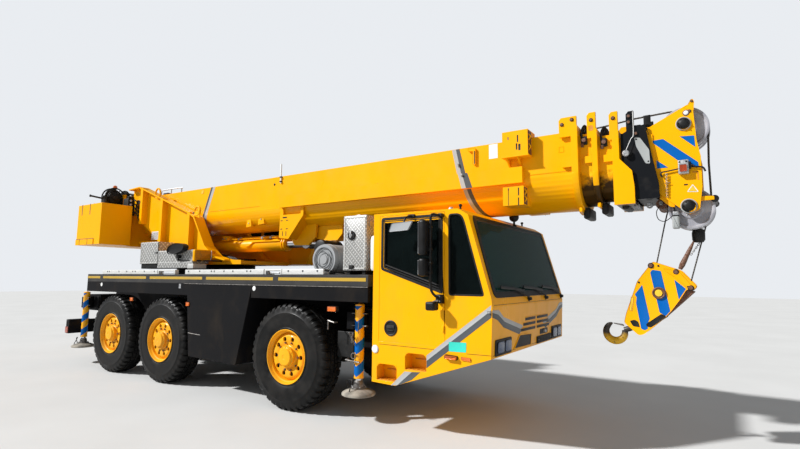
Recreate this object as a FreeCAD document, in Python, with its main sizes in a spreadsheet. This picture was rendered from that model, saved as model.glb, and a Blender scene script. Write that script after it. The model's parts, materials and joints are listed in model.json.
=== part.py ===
"""Three-axle all-terrain telescopic crane in road trim, boom low over the cab.

Millimetres.  +X forward, +Y left, +Z up, ground at Z 0.  The tables below give
X from the first axle, or from the slewing axis where aft() stands; every object
is moved forward by AXLE1_X, so that the origin lies under the middle of the
whole crane, and raised by RISE where the tyres differ from axle_high.
"""

import FreeCAD, Part
import Sketcher
import math
import os

os.makedirs("parts", exist_ok=True)
doc = FreeCAD.newDocument("mobile_crane")
sheet = doc.addObject("Spreadsheet::Sheet", "Sizes")

DRIVING_SIZES = [
    ("front_reach", 4810, "first axle to the foremost point of the boom head"),
    ("rear_reach", 6280, "first axle to the rear light bar"),
    ("rear_overhang", 1780, "rear light bar behind the third axle"),
    ("tyre_gap", 220, "between the tyres of the second and third axle"),
    ("tyre_radius", 685, "14.00 R 25 tyre"),
    ("axle_high", 685, "axle height that the heights below are given for"),
    ("half_width", 1270, "half the width over deck and cab"),
    ("bead_radius", 335, "tyre bead on the rim"),
    ("spindle_radius", 70, "wheel spindle"),
    ("girder_half", 400, "half width of the main girder"),
    ("girder_low", 950, "underside of the main girder"),
    ("deck_low", 1610, "underside of the deck, top of the girder"),
    ("deck_top", 1750, "walking surface"),
    ("deck_front", 1330, "front edge of the deck"),
    ("deck_short", 790, "rear edge of the deck ahead of the rear light bar"),
    ("cab_rear", 1400, "rear wall of the driver's cab"),
    ("cab_floor", 1000, "floor inside the driver's cab"),
    ("cab_roof", 2460, "roof of the driver's cab"),
    ("cab_wall", 60, "side wall and door thickness"),
    ("door_rear", 1490, "rear edge of the cab door"),
    ("door_front", 2345, "front edge of the cab door"),
    ("beam_wide", 190, "outrigger beam along X"),
    ("beam_tall", 240, "outrigger beam height"),
    ("beam_low", 1060, "underside of the outrigger beams"),
    ("beam_offset", 115, "beam centre from its jack along X"),
    ("jack_front", 1030, "front jacks along X"),
    ("jack_ahead", 280, "rear jacks ahead of the rear light bar"),
    ("jack_inset", 240, "jack centre inside the half width"),
    ("jack_radius", 80, "jack tube"),
    ("jack_low", 500, "underside of the jack tube"),
    ("jack_high", 1380, "top of the jack tube"),
    ("foot_radius", 250, "jack foot plate"),
    ("foot_low", 300, "underside of the jack foot"),
    ("slew_ahead", 1250, "slewing axis ahead of the third axle"),
    ("slew_radius", 700, "slewing ring"),
    ("slew_low", 1840, "top of the slewing pedestal"),
    ("table_low", 1930, "underside of the turntable"),
    ("table_thick", 60, "turntable floor plate"),
    ("cheek_inner", 470, "inner face of the boom cheeks"),
    ("cheek_thick", 60, "boom cheek plates"),
    ("pivot_back", 1940, "boom pivot behind the slewing axis"),
    ("pivot_high", 3230, "boom pivot height"),
    ("boom_half", 380, "half width of the base boom section"),
    ("boom_top", 3365, "top of the base boom section"),
    ("boom_bottom", 2510, "underside of the base boom section"),
    ("boom_tail_over", 150, "tail of the base boom section behind the pivot"),
    ("boom_wall", 14, "boom plate"),
    ("section_step", 40, "each section is this much smaller all round"),
    ("lift_back", 850, "lift cylinder foot pin behind the slewing axis"),
    ("lift_high", 2280, "lift cylinder height"),
    ("lift_eye_ahead", 2450, "lift cylinder rod eye ahead of the slewing axis"),
    ("lift_radius", 110, "lift cylinder barrel"),
    ("rod_radius", 70, "lift cylinder rod"),
    ("sheave_x", 4580, "lower head sheave"),
    ("sheave_high", 2440, "lower head sheave height"),
    ("sheave_radius", 230, "lower head sheave"),
    ("opcab_side", 600, "inner wall of the operator's cab"),
    ("fit", 0.3, "gap of a running fit"),
    ("slide_fit", 0.5, "gap all round a sliding section"),
]


class Size:
    """A length together with the sheet expression that drives it."""

    def __init__(self, value, text):
        self.value = float(value)
        self.text = text

    def __add__(self, other):
        other = sized(other)
        return Size(self.value + other.value, f"({self.text} + {other.text})")

    def __sub__(self, other):
        other = sized(other)
        return Size(self.value - other.value, f"({self.text} - {other.text})")

    def __mul__(self, other):
        other = sized(other)
        return Size(self.value * other.value, f"({self.text} * {other.text})")

    def __neg__(self):
        return Size(-self.value, f"(0 - {self.text})")

    def __float__(self):
        return self.value

    __radd__ = __add__
    __rmul__ = __mul__

    def __rsub__(self, other):
        return sized(other) - self


def sized(value):
    if isinstance(value, Size):
        return value
    return Size(value, f"({float(value):.4f})")


def read_sizes():
    """Fill the sheet and give its cells back as sizes."""
    cells = {}
    for row, (name, value, note) in enumerate(DRIVING_SIZES, start=1):
        sheet.set(f"A{row}", name)
        sheet.set(f"B{row}", str(value))
        sheet.set(f"C{row}", note)
        sheet.setAlias(f"B{row}", name)
        cells[name] = Size(value, f"Sizes.{name}")
    return cells


S = read_sizes()
doc.recompute()
AXLE1_X = (S["rear_reach"] - S["front_reach"]) * 0.5
RISE = S["tyre_radius"] - S["axle_high"]
TYRE_TOP = S["tyre_radius"] + S["axle_high"]
S["axle_3"] = S["rear_overhang"] - S["rear_reach"]
S["axle_2"] = S["axle_3"] + S["tyre_radius"] * 2 + S["tyre_gap"]
S["tyre_face"] = S["half_width"] + 5
S["kingpin_side"] = S["tyre_face"] - 405
S["deck_rear"] = S["deck_short"] - S["rear_reach"]
S["jack_rear"] = S["jack_ahead"] - S["rear_reach"]
S["jack_side"] = S["half_width"] - S["jack_inset"]
S["slew_x"] = S["axle_3"] + S["slew_ahead"]
S["pivot_x"] = S["slew_x"] - S["pivot_back"]
S["boom_tail"] = S["pivot_x"] - S["boom_tail_over"]
S["lift_x"] = S["slew_x"] - S["lift_back"]
S["lift_eye"] = S["slew_x"] + S["lift_eye_ahead"]
FINISHED = []


def aft(distance):
    """X of a point on the turntable, counted from the slewing axis."""
    return S["slew_x"] + distance


def from_slew(points):
    """The same points with their X counted from the slewing axis."""
    return [(aft(x), z) for x, z in points]


def bind(obj, prop, size):
    size = sized(size)
    if "Sizes." in size.text or prop.startswith(".Placement"):
        obj.setExpression(prop, size.text)
    else:
        setattr(obj, prop, size.value)


def put(obj, x, y, z, turn=None):
    """Place an object; X counts from the first axle, Z from the ground at the design tyre."""
    spot = (sized(x) + AXLE1_X, sized(y), sized(z) + RISE)
    obj.Placement = FreeCAD.Placement(
        FreeCAD.Vector(*(float(part) for part in spot)),
        turn or FreeCAD.Rotation(),
    )
    for axis, size in zip("xyz", spot):
        bind(obj, ".Placement.Base." + axis, size)
    return obj


def block(name, x_range, y_range, z_range):
    box = doc.addObject("Part::Box", name)
    for prop, (low, high) in zip(("Length", "Width", "Height"), (x_range, y_range, z_range)):
        bind(box, prop, sized(high) - low)
    return put(box, x_range[0], y_range[0], z_range[0])


TURNS = {
    "X": FreeCAD.Rotation(FreeCAD.Vector(0, 1, 0), 90),
    "Y": FreeCAD.Rotation(FreeCAD.Vector(1, 0, 0), -90),
    "Z": FreeCAD.Rotation(),
}


def rod(name, axis, centre, span, radius):
    """A cylinder along one axis; centre gives the two other coordinates."""
    bar = doc.addObject("Part::Cylinder", name)
    bind(bar, "Radius", radius)
    bind(bar, "Height", sized(span[1]) - span[0])
    spot = list(centre)
    spot.insert("XYZ".index(axis), span[0])
    return put(bar, *spot, turn=TURNS[axis])


def outline(body, name, plane, points):
    """A closed polygon on one of the body's own planes, every corner dimensioned."""
    sketch = body.newObject("Sketcher::SketchObject", name)
    role = {"XY": "XY_Plane", "XZ": "XZ_Plane", "YZ": "YZ_Plane"}[plane]
    origin = [f for f in body.Origin.OriginFeatures if f.Role == role][0]
    sketch.AttachmentSupport = [(origin, "")]
    sketch.MapMode = "FlatFace"
    corners = [FreeCAD.Vector(float(sized(a)), float(sized(b)), 0) for a, b in points]
    count = len(corners)
    for index in range(count):
        sketch.addGeometry(Part.LineSegment(corners[index], corners[(index + 1) % count]), False)
    for index in range(count):
        nxt = (index + 1) % count
        sketch.addConstraint(Sketcher.Constraint("Coincident", index, 2, nxt, 1))
    for index, (a, b) in enumerate(points):
        for kind, size in (("DistanceX", sized(a)), ("DistanceY", sized(b))):
            number = sketch.addConstraint(Sketcher.Constraint(kind, -1, 1, index, 1, size.value))
            if "Sizes." in size.text:
                sketch.setExpression(f"Constraints[{number}]", size.text)
    return sketch


def prism(name, plane, points, span):
    """A polygon padded along the axis that its plane leaves free."""
    body = doc.addObject("PartDesign::Body", name)
    sketch = outline(body, name + "_outline", plane, points)
    pad = body.newObject("PartDesign::Pad", name + "_pad")
    pad.Profile = sketch
    bind(pad, "Length", sized(span[1]) - span[0])
    body.Tip = pad
    sketch.Visibility = False
    if plane == "XZ":
        return put(body, 0, span[1], 0)
    if plane == "YZ":
        return put(body, span[0], 0, 0)
    return put(body, 0, 0, span[0])


def turned(name, axis, points, centre, flip=False):
    """A profile of (radius, distance along the axis) turned about that axis."""
    body = doc.addObject("PartDesign::Body", name)
    sketch = outline(body, name + "_profile", "XZ", points)
    turn = body.newObject("PartDesign::Revolution", name + "_turn")
    turn.Profile = sketch
    turn.ReferenceAxis = (sketch, ["V_Axis"])
    turn.Angle = 360
    body.Tip = turn
    angle = {"Y": -90, "Z": 0}[axis] + (180 if flip else 0)
    return put(body, *centre, turn=FreeCAD.Rotation(FreeCAD.Vector(1, 0, 0), angle))


def fuse(name, *parts):
    joined = doc.addObject("Part::MultiFuse", name)
    joined.Shapes = list(parts)
    return joined


def cut(name, base, *tools):
    result = doc.addObject("Part::Cut", name)
    result.Base = base
    result.Tool = tools[0] if len(tools) == 1 else fuse(name + "_tools", *tools)
    return result


def group(name, *parts):
    """Solids of one sub-part that only touch each other."""
    joined = doc.addObject("Part::Compound", name)
    joined.Links = list(parts)
    return joined


def finish(obj, node):
    obj.Label = node
    FINISHED.append((node, obj))
    return obj


def sided(side, inner, outer):
    """Y range of something between two distances from the middle, on one side."""
    if side > 0:
        return (sized(inner), sized(outer))
    return (-sized(outer), -sized(inner))


SIDES = [("r", -1), ("l", 1)]
AXLES = [("1", sized(0), True), ("2", S["axle_2"], False), ("3", S["axle_3"], True)]
CORNERS = [("front", S["jack_front"]), ("rear", S["jack_rear"])]


def build_chassis():
    rear = -S["rear_reach"]
    girder = block(
        "girder",
        (rear + 160, S["cab_rear"]),
        (-S["girder_half"], S["girder_half"]),
        (S["girder_low"], S["deck_low"]),
    )
    pieces = [girder]
    tunnels = []
    for label, jack in CORNERS:
        reach = (150 - S["jack_side"], S["jack_side"] - 150)
        pieces.append(block(f"box_{label}", (jack - 230, jack + 230), reach, (1020, 1340)))
        for side in (-1, 1):
            middle = jack + S["beam_offset"] * side
            half = S["beam_wide"] * 0.5 + S["slide_fit"]
            tunnels.append(block(
                f"tunnel_{label}_{'l' if side > 0 else 'r'}",
                (middle - half, middle + half),
                (-S["half_width"], S["half_width"]),
                (S["beam_low"] - S["slide_fit"], S["beam_low"] + S["beam_tall"] + S["slide_fit"]),
            ))
    stem = (S["deck_low"] - 20, S["slew_low"])
    pedestal = rod("pedestal", "Z", (S["slew_x"], 0), stem, S["slew_radius"] + 20)
    pieces.append(pedestal)
    bar_half = S["half_width"] - 20
    pieces.append(block("light_bar", (rear, rear + 120), (-bar_half, bar_half), (570, 830)))
    for side in (-1, 1):
        low, high = sided(side, 300, 380)
        hanger = (rear + 55, rear + 115)
        pieces.append(block(f"light_bar_hanger_{side + 1}", hanger, (low, high), (830, 1020)))
        pieces.append(block(f"light_bar_arm_{side + 1}", (rear + 55, rear + 200), (low, high), (960, 1020)))
    for label, centre, _ in AXLES:
        for side in (-1, 1):
            low, high = sided(side, 300, 390)
            tall = (S["axle_high"] + 75, S["girder_low"])
            pieces.append(block(f"link_{label}_{side + 1}", (centre - 90, centre + 90), (low, high), tall))
    finish(cut("chassis_frame", fuse("frame_solid", *pieces), *tunnels), "chassis_frame")


def build_axles():
    """Axle tubes with a differential, forked at the ends of the steered ones."""
    pieces = []
    for label, centre, steered in AXLES:
        high = S["axle_high"]
        reach = S["kingpin_side"] - 106
        inner_end = reach if steered else S["tyre_face"] - 375
        tube = rod(f"tube_{label}", "Y", (centre, high), (-inner_end, inner_end), 75)
        drum = turned(
            f"drum_{label}", "Y",
            [(0, -170), (150, -170), (215, -110), (215, 110), (150, 170), (0, 170)],
            (centre, 0, high),
        )
        parts = [tube, drum]
        for side_name, side in SIDES:
            if steered:
                low, up = sided(side, S["kingpin_side"] - 180, reach)
                fork = (centre - 75, centre + 75)
                parts.append(block(f"fork_{label}{side_name}", fork, (low, up), (high - 165, high + 165)))
                low, up = sided(side, S["kingpin_side"] - 170, S["kingpin_side"] + 60)
                gap = S["fit"]
                ear = (centre - 70, centre + 70)
                above = (high + 135 + gap, high + 165)
                below = (high - 165, high - 135 - gap)
                parts.append(block(f"ear_hi_{label}{side_name}", ear, (low, up), above))
                parts.append(block(f"ear_lo_{label}{side_name}", ear, (low, up), below))
            else:
                low, up = sided(side, S["tyre_face"] - 395, S["tyre_face"] - 155)
                name = f"spindle_{label}{side_name}"
                parts.append(rod(name, "Y", (centre, high), (low, up), S["spindle_radius"]))
        pieces.append(fuse(f"axle_{label}", *parts))
    finish(fuse("axle_beams", *pieces), "axle_beams")


def build_wheels():
    for label, centre, steered in AXLES:
        for side_name, side in SIDES:
            high = S["axle_high"]
            face = S["tyre_face"]
            if steered:
                low, up = sided(side, S["kingpin_side"] + 20, face - 155)
                kingpin = (centre, S["kingpin_side"] * side)
                core = rod(f"knuckle_core_{label}{side_name}", "Z", kingpin, (high - 135, high + 135), 98)
                name = f"knuckle_spindle_{label}{side_name}"
                spindle = rod(name, "Y", (centre, high), (low, up), S["spindle_radius"])
                finish(fuse(f"knuckle_{label}{side_name}", core, spindle), f"knuckle_{label}{side_name}")
            rim_profile = [
                (S["bead_radius"] + 12, face - 372), (S["bead_radius"] + 12, face - 362),
                (S["bead_radius"], face - 352), (S["bead_radius"], face - 25),
                (S["bead_radius"] + 12, face - 17), (S["bead_radius"] + 12, face - 6),
                (S["bead_radius"] - 4, face - 6), (312, face - 34), (312, face - 165),
                (285, face - 205), (165, face - 230), (122, face - 205), (122, face - 66),
                (104, face - 44), (0, face - 44), (0, face - 153),
                (S["spindle_radius"] + S["fit"], face - 153),
                (S["spindle_radius"] + S["fit"], face - 303), (128, face - 303), (140, face - 262),
                (285, face - 242), (300, face - 215), (300, face - 372),
            ]
            wall = S["tyre_radius"] - S["bead_radius"]
            flank = [S["bead_radius"] + wall * share for share in (0.27, 0.585, 0.85)]
            tyre_profile = [
                (S["bead_radius"], face - 350), (S["bead_radius"] + 26, face - 361),
                (flank[0], face - 374), (flank[1], face - 374), (flank[2], face - 360),
                (S["tyre_radius"] - 18, face - 338), (S["tyre_radius"], face - 300),
                (S["tyre_radius"], face - 75), (S["tyre_radius"] - 18, face - 37),
                (flank[2], face - 15), (flank[1], face), (flank[0], face - 1),
                (S["bead_radius"] + 26, face - 14), (S["bead_radius"], face - 27),
            ]
            for node, profile in (("rim", rim_profile), ("tyre", tyre_profile)):
                wheel = turned(f"{node}_{label}{side_name}", "Y", profile, (centre, 0, high), flip=side < 0)
                finish(wheel, f"{node}_{label}{side_name}")


def build_deck():
    wide = (-S["half_width"], S["half_width"])
    slab = block("deck_slab", (S["deck_rear"], S["deck_front"]), wide, (S["deck_low"], S["deck_top"]))
    through = (S["deck_low"] - 10, S["deck_top"] + 10)
    hole = rod("deck_hole", "Z", (S["slew_x"], 0), through, S["slew_radius"] + 20)
    finish(cut("deck_platform", slab, hole), "deck_platform")
    planks = []
    deck_long = S["deck_front"] - S["deck_rear"]
    tall = (S["deck_top"], S["deck_top"] + 60)
    for index, shares in enumerate(((0.043, 0.211), (0.226, 0.497), (0.519, 0.722), (0.777, 0.886))):
        rear, front = (S["deck_rear"] + deck_long * share for share in shares)
        for side_name, side in SIDES:
            low, up = sided(side, S["half_width"] - 110, S["half_width"])
            planks.append(block(f"plank_{index}{side_name}", (rear, front), (low, up), tall))
    near = (120 - S["half_width"], 710 - S["half_width"])
    planks.append(block("deck_toolbox", (710, 1090), near, (S["deck_top"], 2460)))
    finish(fuse("deck_aluminium", *planks), "deck_aluminium")
    panels = []
    rear = S["axle_2"] + S["tyre_radius"] + 5
    front = -S["tyre_radius"] - 35
    for side_name, side in SIDES:
        low, up = sided(side, S["half_width"] - 55, S["half_width"])
        tall = (TYRE_TOP + 55, S["deck_low"])
        panels.append(block(f"strip_rear_{side_name}", (S["deck_rear"], rear), (low, up), tall))
        panels.append(block(f"strip_front_{side_name}", (front, S["deck_front"]), (low, up), tall))
        low, up = sided(side, S["half_width"] - 510, S["half_width"])
        panels.append(prism(
            f"side_box_{side_name}", "XZ",
            [(rear + 110, 500), (front - 270, 480), (front, TYRE_TOP + 180), (front, S["deck_low"]),
             (rear, S["deck_low"]), (rear, TYRE_TOP + 30)],
            (low, up),
        ))
        low, up = sided(side, S["girder_half"] + 160, S["half_width"] - 390)
        panels.append(prism(
            f"front_box_{side_name}", "XZ",
            [(880, 720), (1250, 720), (1250, 1020), (820, 1020)],
            (low, up),
        ))
    finish(fuse("side_panels", *panels), "side_panels")


def build_outriggers():
    for label, jack in CORNERS:
        for side_name, side in SIDES:
            tag = f"{label}_{side_name}"
            middle = jack + S["beam_offset"] * side
            half = S["beam_wide"] * 0.5
            tube_edge = S["jack_side"] - S["jack_radius"]
            low, up = sided(side, 130 - S["jack_side"], tube_edge)
            beam_z = (S["beam_low"], S["beam_low"] + S["beam_tall"])
            beam = block(f"beam_{tag}", (middle - half, middle + half), (low, up), beam_z)
            low, up = sided(side, tube_edge, S["jack_side"])
            reach = (middle - half, jack + S["jack_radius"])
            if side > 0:
                reach = (jack - S["jack_radius"], middle + half)
            head = block(f"beam_head_{tag}", reach, (low, up), beam_z)
            centre = (jack, S["jack_side"] * side)
            tube = rod(f"jack_tube_{tag}", "Z", centre, (S["jack_low"], S["jack_high"]), S["jack_radius"])
            deep = (S["jack_low"] - 10, S["jack_high"] - 60)
            bore = rod(f"jack_bore_{tag}", "Z", centre, deep, 45 + S["fit"])
            solid = fuse(f"outrigger_solid_{tag}", beam, head, tube)
            finish(cut(f"outrigger_{tag}", solid, bore), f"outrigger_{tag}")
            foot = turned(
                f"jack_foot_{tag}", "Z",
                [(0, S["foot_low"]), (S["foot_radius"] - 20, S["foot_low"]),
                 (S["foot_radius"], S["foot_low"] + 12), (S["foot_radius"], S["foot_low"] + 40),
                 (120, S["foot_low"] + 75), (70, S["foot_low"] + 110), (70, S["jack_low"] - 25),
                 (45, S["jack_low"] - 15), (45, S["jack_high"] - 90), (0, S["jack_high"] - 90)],
                (jack, S["jack_side"] * side, 0),
            )
            finish(foot, f"jack_foot_{tag}")


CAB_SIDE = [
    (S["cab_rear"], 540), (1720, 530), (2860, 920), (2880, 1430), (2870, 1520), (2620, 2380),
    (2500, S["cab_roof"] - 5), (S["cab_rear"], S["cab_roof"]),
]
CAB_INSIDE = [
    (S["cab_rear"] + 60, S["cab_floor"]), (2790, S["cab_floor"]), (2800, 1500), (2560, 2350),
    (2470, S["cab_roof"] - 60), (S["cab_rear"] + 60, S["cab_roof"] - 60),
]
SCREEN_HOLE = [(2760, 1550), (2900, 1550), (2670, 2365), (2520, 2365)]
SCREEN_PANE = [(2854, 1550), (2866, 1550), (2630, 2365), (2618, 2365)]
DASH = [(2450, 1000), (2790, 1000), (2800, 1500), (2620, 1480), (2480, 1400)]
QUARTER = [(2400, 1545), (2785, 1545), (2565, 2325), (2540, 2370), (2500, 2392), (2400, 2392)]
DOOR_WINDOW = [(1550, 1830), (2290, 1570), (2290, 2350), (1550, 2350)]


def build_cab():
    half = S["half_width"] - 5
    inner = half - S["cab_wall"]
    hull = prism("cab_hull", "XZ", CAB_SIDE, (-half, half))
    room = prism("cab_room", "XZ", CAB_INSIDE, (-inner, inner))
    tools = [room]
    screen = half - 115
    tools.append(prism("screen_hole", "XZ", SCREEN_HOLE, (-screen, screen)))
    for side_name, side in SIDES:
        low, up = sided(side, inner - 5, half + 5)
        doorway = (S["door_rear"], S["door_front"])
        tools.append(block(f"door_hole_{side_name}", doorway, (low, up), (S["cab_floor"], 2430)))
        tools.append(prism(f"quarter_hole_{side_name}", "XZ", QUARTER, (low, up)))
        low, up = sided(side, half - 150, half + 5)
        tools.append(block(f"step_low_{side_name}", (1470, 1740), (low, up), (570, 750)))
        tools.append(block(f"step_high_{side_name}", (1850, 2120), (low, up), (720, 900)))
    finish(cut("cab_shell", hull, *tools), "cab_shell")

    panes = [prism("screen_pane", "XZ", SCREEN_PANE, (-screen, screen))]
    for side_name, side in SIDES:
        low, up = sided(side, half - 20, half - 12)
        panes.append(prism(f"quarter_pane_{side_name}", "XZ", QUARTER, (low, up)))
    finish(fuse("cab_glass", *panes), "cab_glass")

    inside = [prism("dash", "XZ", DASH, (-inner, inner))]
    for side_name, side in SIDES:
        low, up = sided(side, inner - 825, inner - 325)
        inside.append(prism(
            f"driver_seat_{side_name}", "XZ",
            [(1620, S["cab_floor"]), (1980, S["cab_floor"]), (1980, 1200), (2130, 1260), (2130, 1390),
             (1740, 1370), (1640, 2080), (1540, 2060), (1600, 1300)],
            (low, up),
        ))
    wheel_side = inner - 575
    column = rod("steering_column", "X", (wheel_side, 1440), (2330, 2560), 30)
    ring = doc.addObject("Part::Torus", "steering_ring")
    ring.Radius1 = 200
    ring.Radius2 = 16
    put(ring, 2330, wheel_side, 1440, turn=FreeCAD.Rotation(FreeCAD.Vector(0, 1, 0), 90))
    spoke = block("steering_spoke", (2318, 2342), (wheel_side - 200, wheel_side + 200), (1420, 1460))
    finish(fuse("cab_interior", *inside, column, ring, spoke), "cab_interior")

    for side_name, side in SIDES:
        low, up = sided(side, inner, half)
        leaf = (S["door_rear"] + 3, S["door_front"] - 3)
        slab = block(f"door_slab_{side_name}", leaf, (low, up), (S["cab_floor"] + 0.3, 2427))
        low, up = sided(side, inner - 5, half + 5)
        window = prism(f"door_window_{side_name}", "XZ", DOOR_WINDOW, (low, up))
        hinge = (S["door_front"] - 15, (half + 6) * side)
        barrels = [
            rod(f"door_barrel_{base}{side_name}", "Z", hinge, (base, base + 70), 12) for base in (1150, 1380)
        ]
        door = fuse(f"door_solid_{side_name}", slab, *barrels)
        finish(cut(f"cab_door_{side_name}", door, window), f"cab_door_{side_name}")
        low, up = sided(side, half - 30, half - 22)
        finish(prism(f"door_glass_{side_name}", "XZ", DOOR_WINDOW, (low, up)), f"door_glass_{side_name}")
        arm = sided(side, half, half + 150)
        foot = block(f"mirror_foot_{side_name}", (2250, 2300), arm, (1470, 1500))
        top = block(f"mirror_top_{side_name}", (2250, 2300), arm, (2380, 2410))
        post = rod(f"mirror_post_{side_name}", "Z", (2275, (half + 150) * side), (1470, 2410), 16)
        low, up = sided(side, half + 80, half + 230)
        big = block(f"mirror_big_{side_name}", (2150, 2235), (low, up), (1950, 2330))
        small = block(f"mirror_small_{side_name}", (2150, 2235), (low, up), (1730, 1920))
        low, up = sided(side, half + 135, half + 165)
        stub = block(f"mirror_stub_{side_name}", (2230, 2270), (low, up), (1780, 2300))
        finish(fuse(f"mirror_{side_name}", foot, top, post, big, small, stub), f"mirror_{side_name}")


def build_deck_gear():
    face = 150 - S["half_width"]
    drum = turned(
        "cleaner_drum", "Y",
        [(0, face), (60, face), (60, face + 10), (110, face + 10), (110, face + 20), (150, face + 20),
         (150, face + 10), (195, face + 10), (200, face + 30), (200, face + 650), (150, face + 680),
         (0, face + 680)],
        (480, 0, S["deck_top"] + 200),
    )
    high = (S["deck_top"], S["deck_top"] + 60)
    saddle = block("cleaner_saddle", (360, 600), (face + 120, face + 520), high)
    finish(fuse("air_cleaner", drum, saddle), "air_cleaner")


CHEEK = from_slew([
    (-2180, 3510), (-2180, 2960), (-2040, 2960), (-1130, 2380), (-1000, 1930), (1350, 1930), (1350, 2000),
    (1060, 2010), (750, 2070), (490, 2260), (130, 2800), (-50, 2890), (-1790, 3530),
])
CHEEK_FLANGE = from_slew([
    (-2180, 3490), (-1790, 3510), (-50, 2870), (110, 2780), (470, 2240), (740, 2050), (1060, 1990),
    (1060, 2010), (750, 2074), (488, 2262), (130, 2802), (-40, 2892), (-1786, 3532), (-2180, 3512),
])
CHEEK_RIBS = ((-1710, 2760, 3490), (-980, 1990, 3220), (-80, 1990, 2890))


def build_turntable():
    floor_top = S["table_low"] + S["table_thick"]
    cheek_outer = S["cheek_inner"] + S["cheek_thick"]
    wide = (-cheek_outer, cheek_outer)
    pieces = [block("table_floor", (aft(-1000), aft(1350)), wide, (S["table_low"], floor_top))]
    for side_name, side in SIDES:
        low, up = sided(side, S["cheek_inner"], cheek_outer)
        pieces.append(prism(f"cheek_{side_name}", "XZ", CHEEK, (low, up)))
        reach = cheek_outer + (110 if side < 0 else 60)
        low, up = sided(side, cheek_outer, reach)
        for index, (rear, base, top) in enumerate(CHEEK_RIBS):
            along = (aft(rear), aft(rear + 80))
            pieces.append(block(f"rib_{index}{side_name}", along, (low, up), (base, top)))
        low, up = sided(side, S["cheek_inner"] - 30, reach)
        pieces.append(prism(f"flange_{side_name}", "XZ", CHEEK_FLANGE, (low, up)))
        low, up = sided(side, S["boom_half"] + 12, S["cheek_inner"])
        pieces.append(rod(f"pivot_boss_{side_name}", "Y", (S["pivot_x"], S["pivot_high"]), (low, up), 120))
    high = (S["table_low"] + 20, S["table_low"] + 120)
    pieces.append(block("opcab_shelf", (aft(500), aft(1350)), (cheek_outer, S["opcab_side"]), high))
    between = (-S["cheek_inner"], S["cheek_inner"])
    pieces.append(block("rear_floor", (aft(-1950), aft(-1050)), between, (2380, 2420)))
    pieces.append(rod("pivot_pin", "Y", (S["pivot_x"], S["pivot_high"]), (-560, 560), 59.7))
    for side_name, side in SIDES:
        low, up = sided(side, 80, 120)
        pieces.append(block(f"lift_lug_{side_name}", (S["lift_x"] - 90, S["lift_x"] + 90), (low, up),
                            (floor_top - 5, S["lift_high"] + 80)))
    pieces.append(rod("lift_pin", "Y", (S["lift_x"], S["lift_high"]), (-140, 140), 39.7))
    solid = fuse("table_solid", *pieces)
    finish(solid, "turntable_frame")

    ring = turned(
        "slew_ring", "Z",
        [(560, S["slew_low"] + S["fit"]), (S["slew_radius"], S["slew_low"] + S["fit"]),
         (S["slew_radius"], S["table_low"]), (560, S["table_low"])],
        (S["slew_x"], 0, 0),
    )
    finish(ring, "slew_ring")

    wide = S["half_width"] - 20
    weight = block("weight_block", (aft(-2900), aft(-2180)), (-wide, wide), (2330, 3140))
    wings = []
    for side_name, side in SIDES:
        low, up = sided(side, 660, wide)
        wings.append(block(f"weight_wing_{side_name}", (aft(-2190), aft(-1950)), (low, up), (2330, 3140)))
    lip = block("weight_lip", (aft(-2900), aft(-2180)), (-wide - 15, wide + 15), (2330, 2440))
    stands = []
    for side_name, side in SIDES:
        across = sided(side, 565, 600)
        stands.append(block(f"winch_stand_{side_name}", (aft(-2680), aft(-2400)), across, (3135, 3430)))
    axle = rod("winch_axle", "Y", (aft(-2540), 3345), (-600, 600), 30)
    finish(fuse("counterweight", weight, lip, axle, *wings, *stands), "counterweight")

    drum = turned(
        "winch_drum", "Y",
        [(30.3, -560), (190, -560), (190, -520), (130, -520), (130, 520), (190, 520), (190, 560),
         (30.3, 560)],
        (aft(-2540), 0, 3345),
    )
    finish(drum, "winch")

    flange = S["cheek_inner"] + S["cheek_thick"] + 110
    face = 320 - S["half_width"]
    boxes = [
        block("box_tall", (aft(-1000), aft(-410)), (face, -flange), (1940, 2340)),
        block("box_low", (aft(-410), aft(640)), (face, -flange), (1940, 2170)),
        block("box_hem", (aft(-410), aft(640)), (face, face + 220), (1860, 1940)),
    ]
    finish(fuse("machinery_boxes", *boxes), "machinery_boxes")


OPCAB_SIDE = from_slew([(500, 1950), (1750, 1950), (1920, 2350), (1770, 3330), (1690, 3380), (500, 3380)])
OPCAB_ROOM = from_slew([(550, 2010), (1720, 2010), (1865, 2360), (1720, 3310), (1660, 3330), (550, 3330)])
OPCAB_SIDE_WINDOW = from_slew([(600, 2500), (1805, 2500), (1690, 3270), (600, 3270)])
OPCAB_SCREEN = from_slew([(1750, 2400), (1950, 2400), (1820, 3280), (1650, 3280)])
OPCAB_PANE = from_slew([(1898, 2400), (1906, 2400), (1777, 3280), (1769, 3280)])
OPCAB_DOORWAY = from_slew([(600, 2030), (1690, 2030), (1800, 2350), (1690, 3270), (600, 3270)])
OPDOOR = from_slew([(560, 2025), (1730, 2025), (1850, 2350), (1730, 3300), (560, 3300)])
OPDOOR_WINDOW = from_slew([(630, 2450), (1770, 2450), (1660, 3230), (630, 3230)])
OPERATOR_SEAT = from_slew([
    (800, 2010), (1200, 2010), (1200, 2400), (1300, 2450), (1300, 2560), (870, 2540), (790, 3150),
    (690, 3140),
])
OPERATOR_DESK = from_slew([(1490, 2010), (1720, 2010), (1810, 2230), (1610, 2600), (1530, 2580)])


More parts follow.
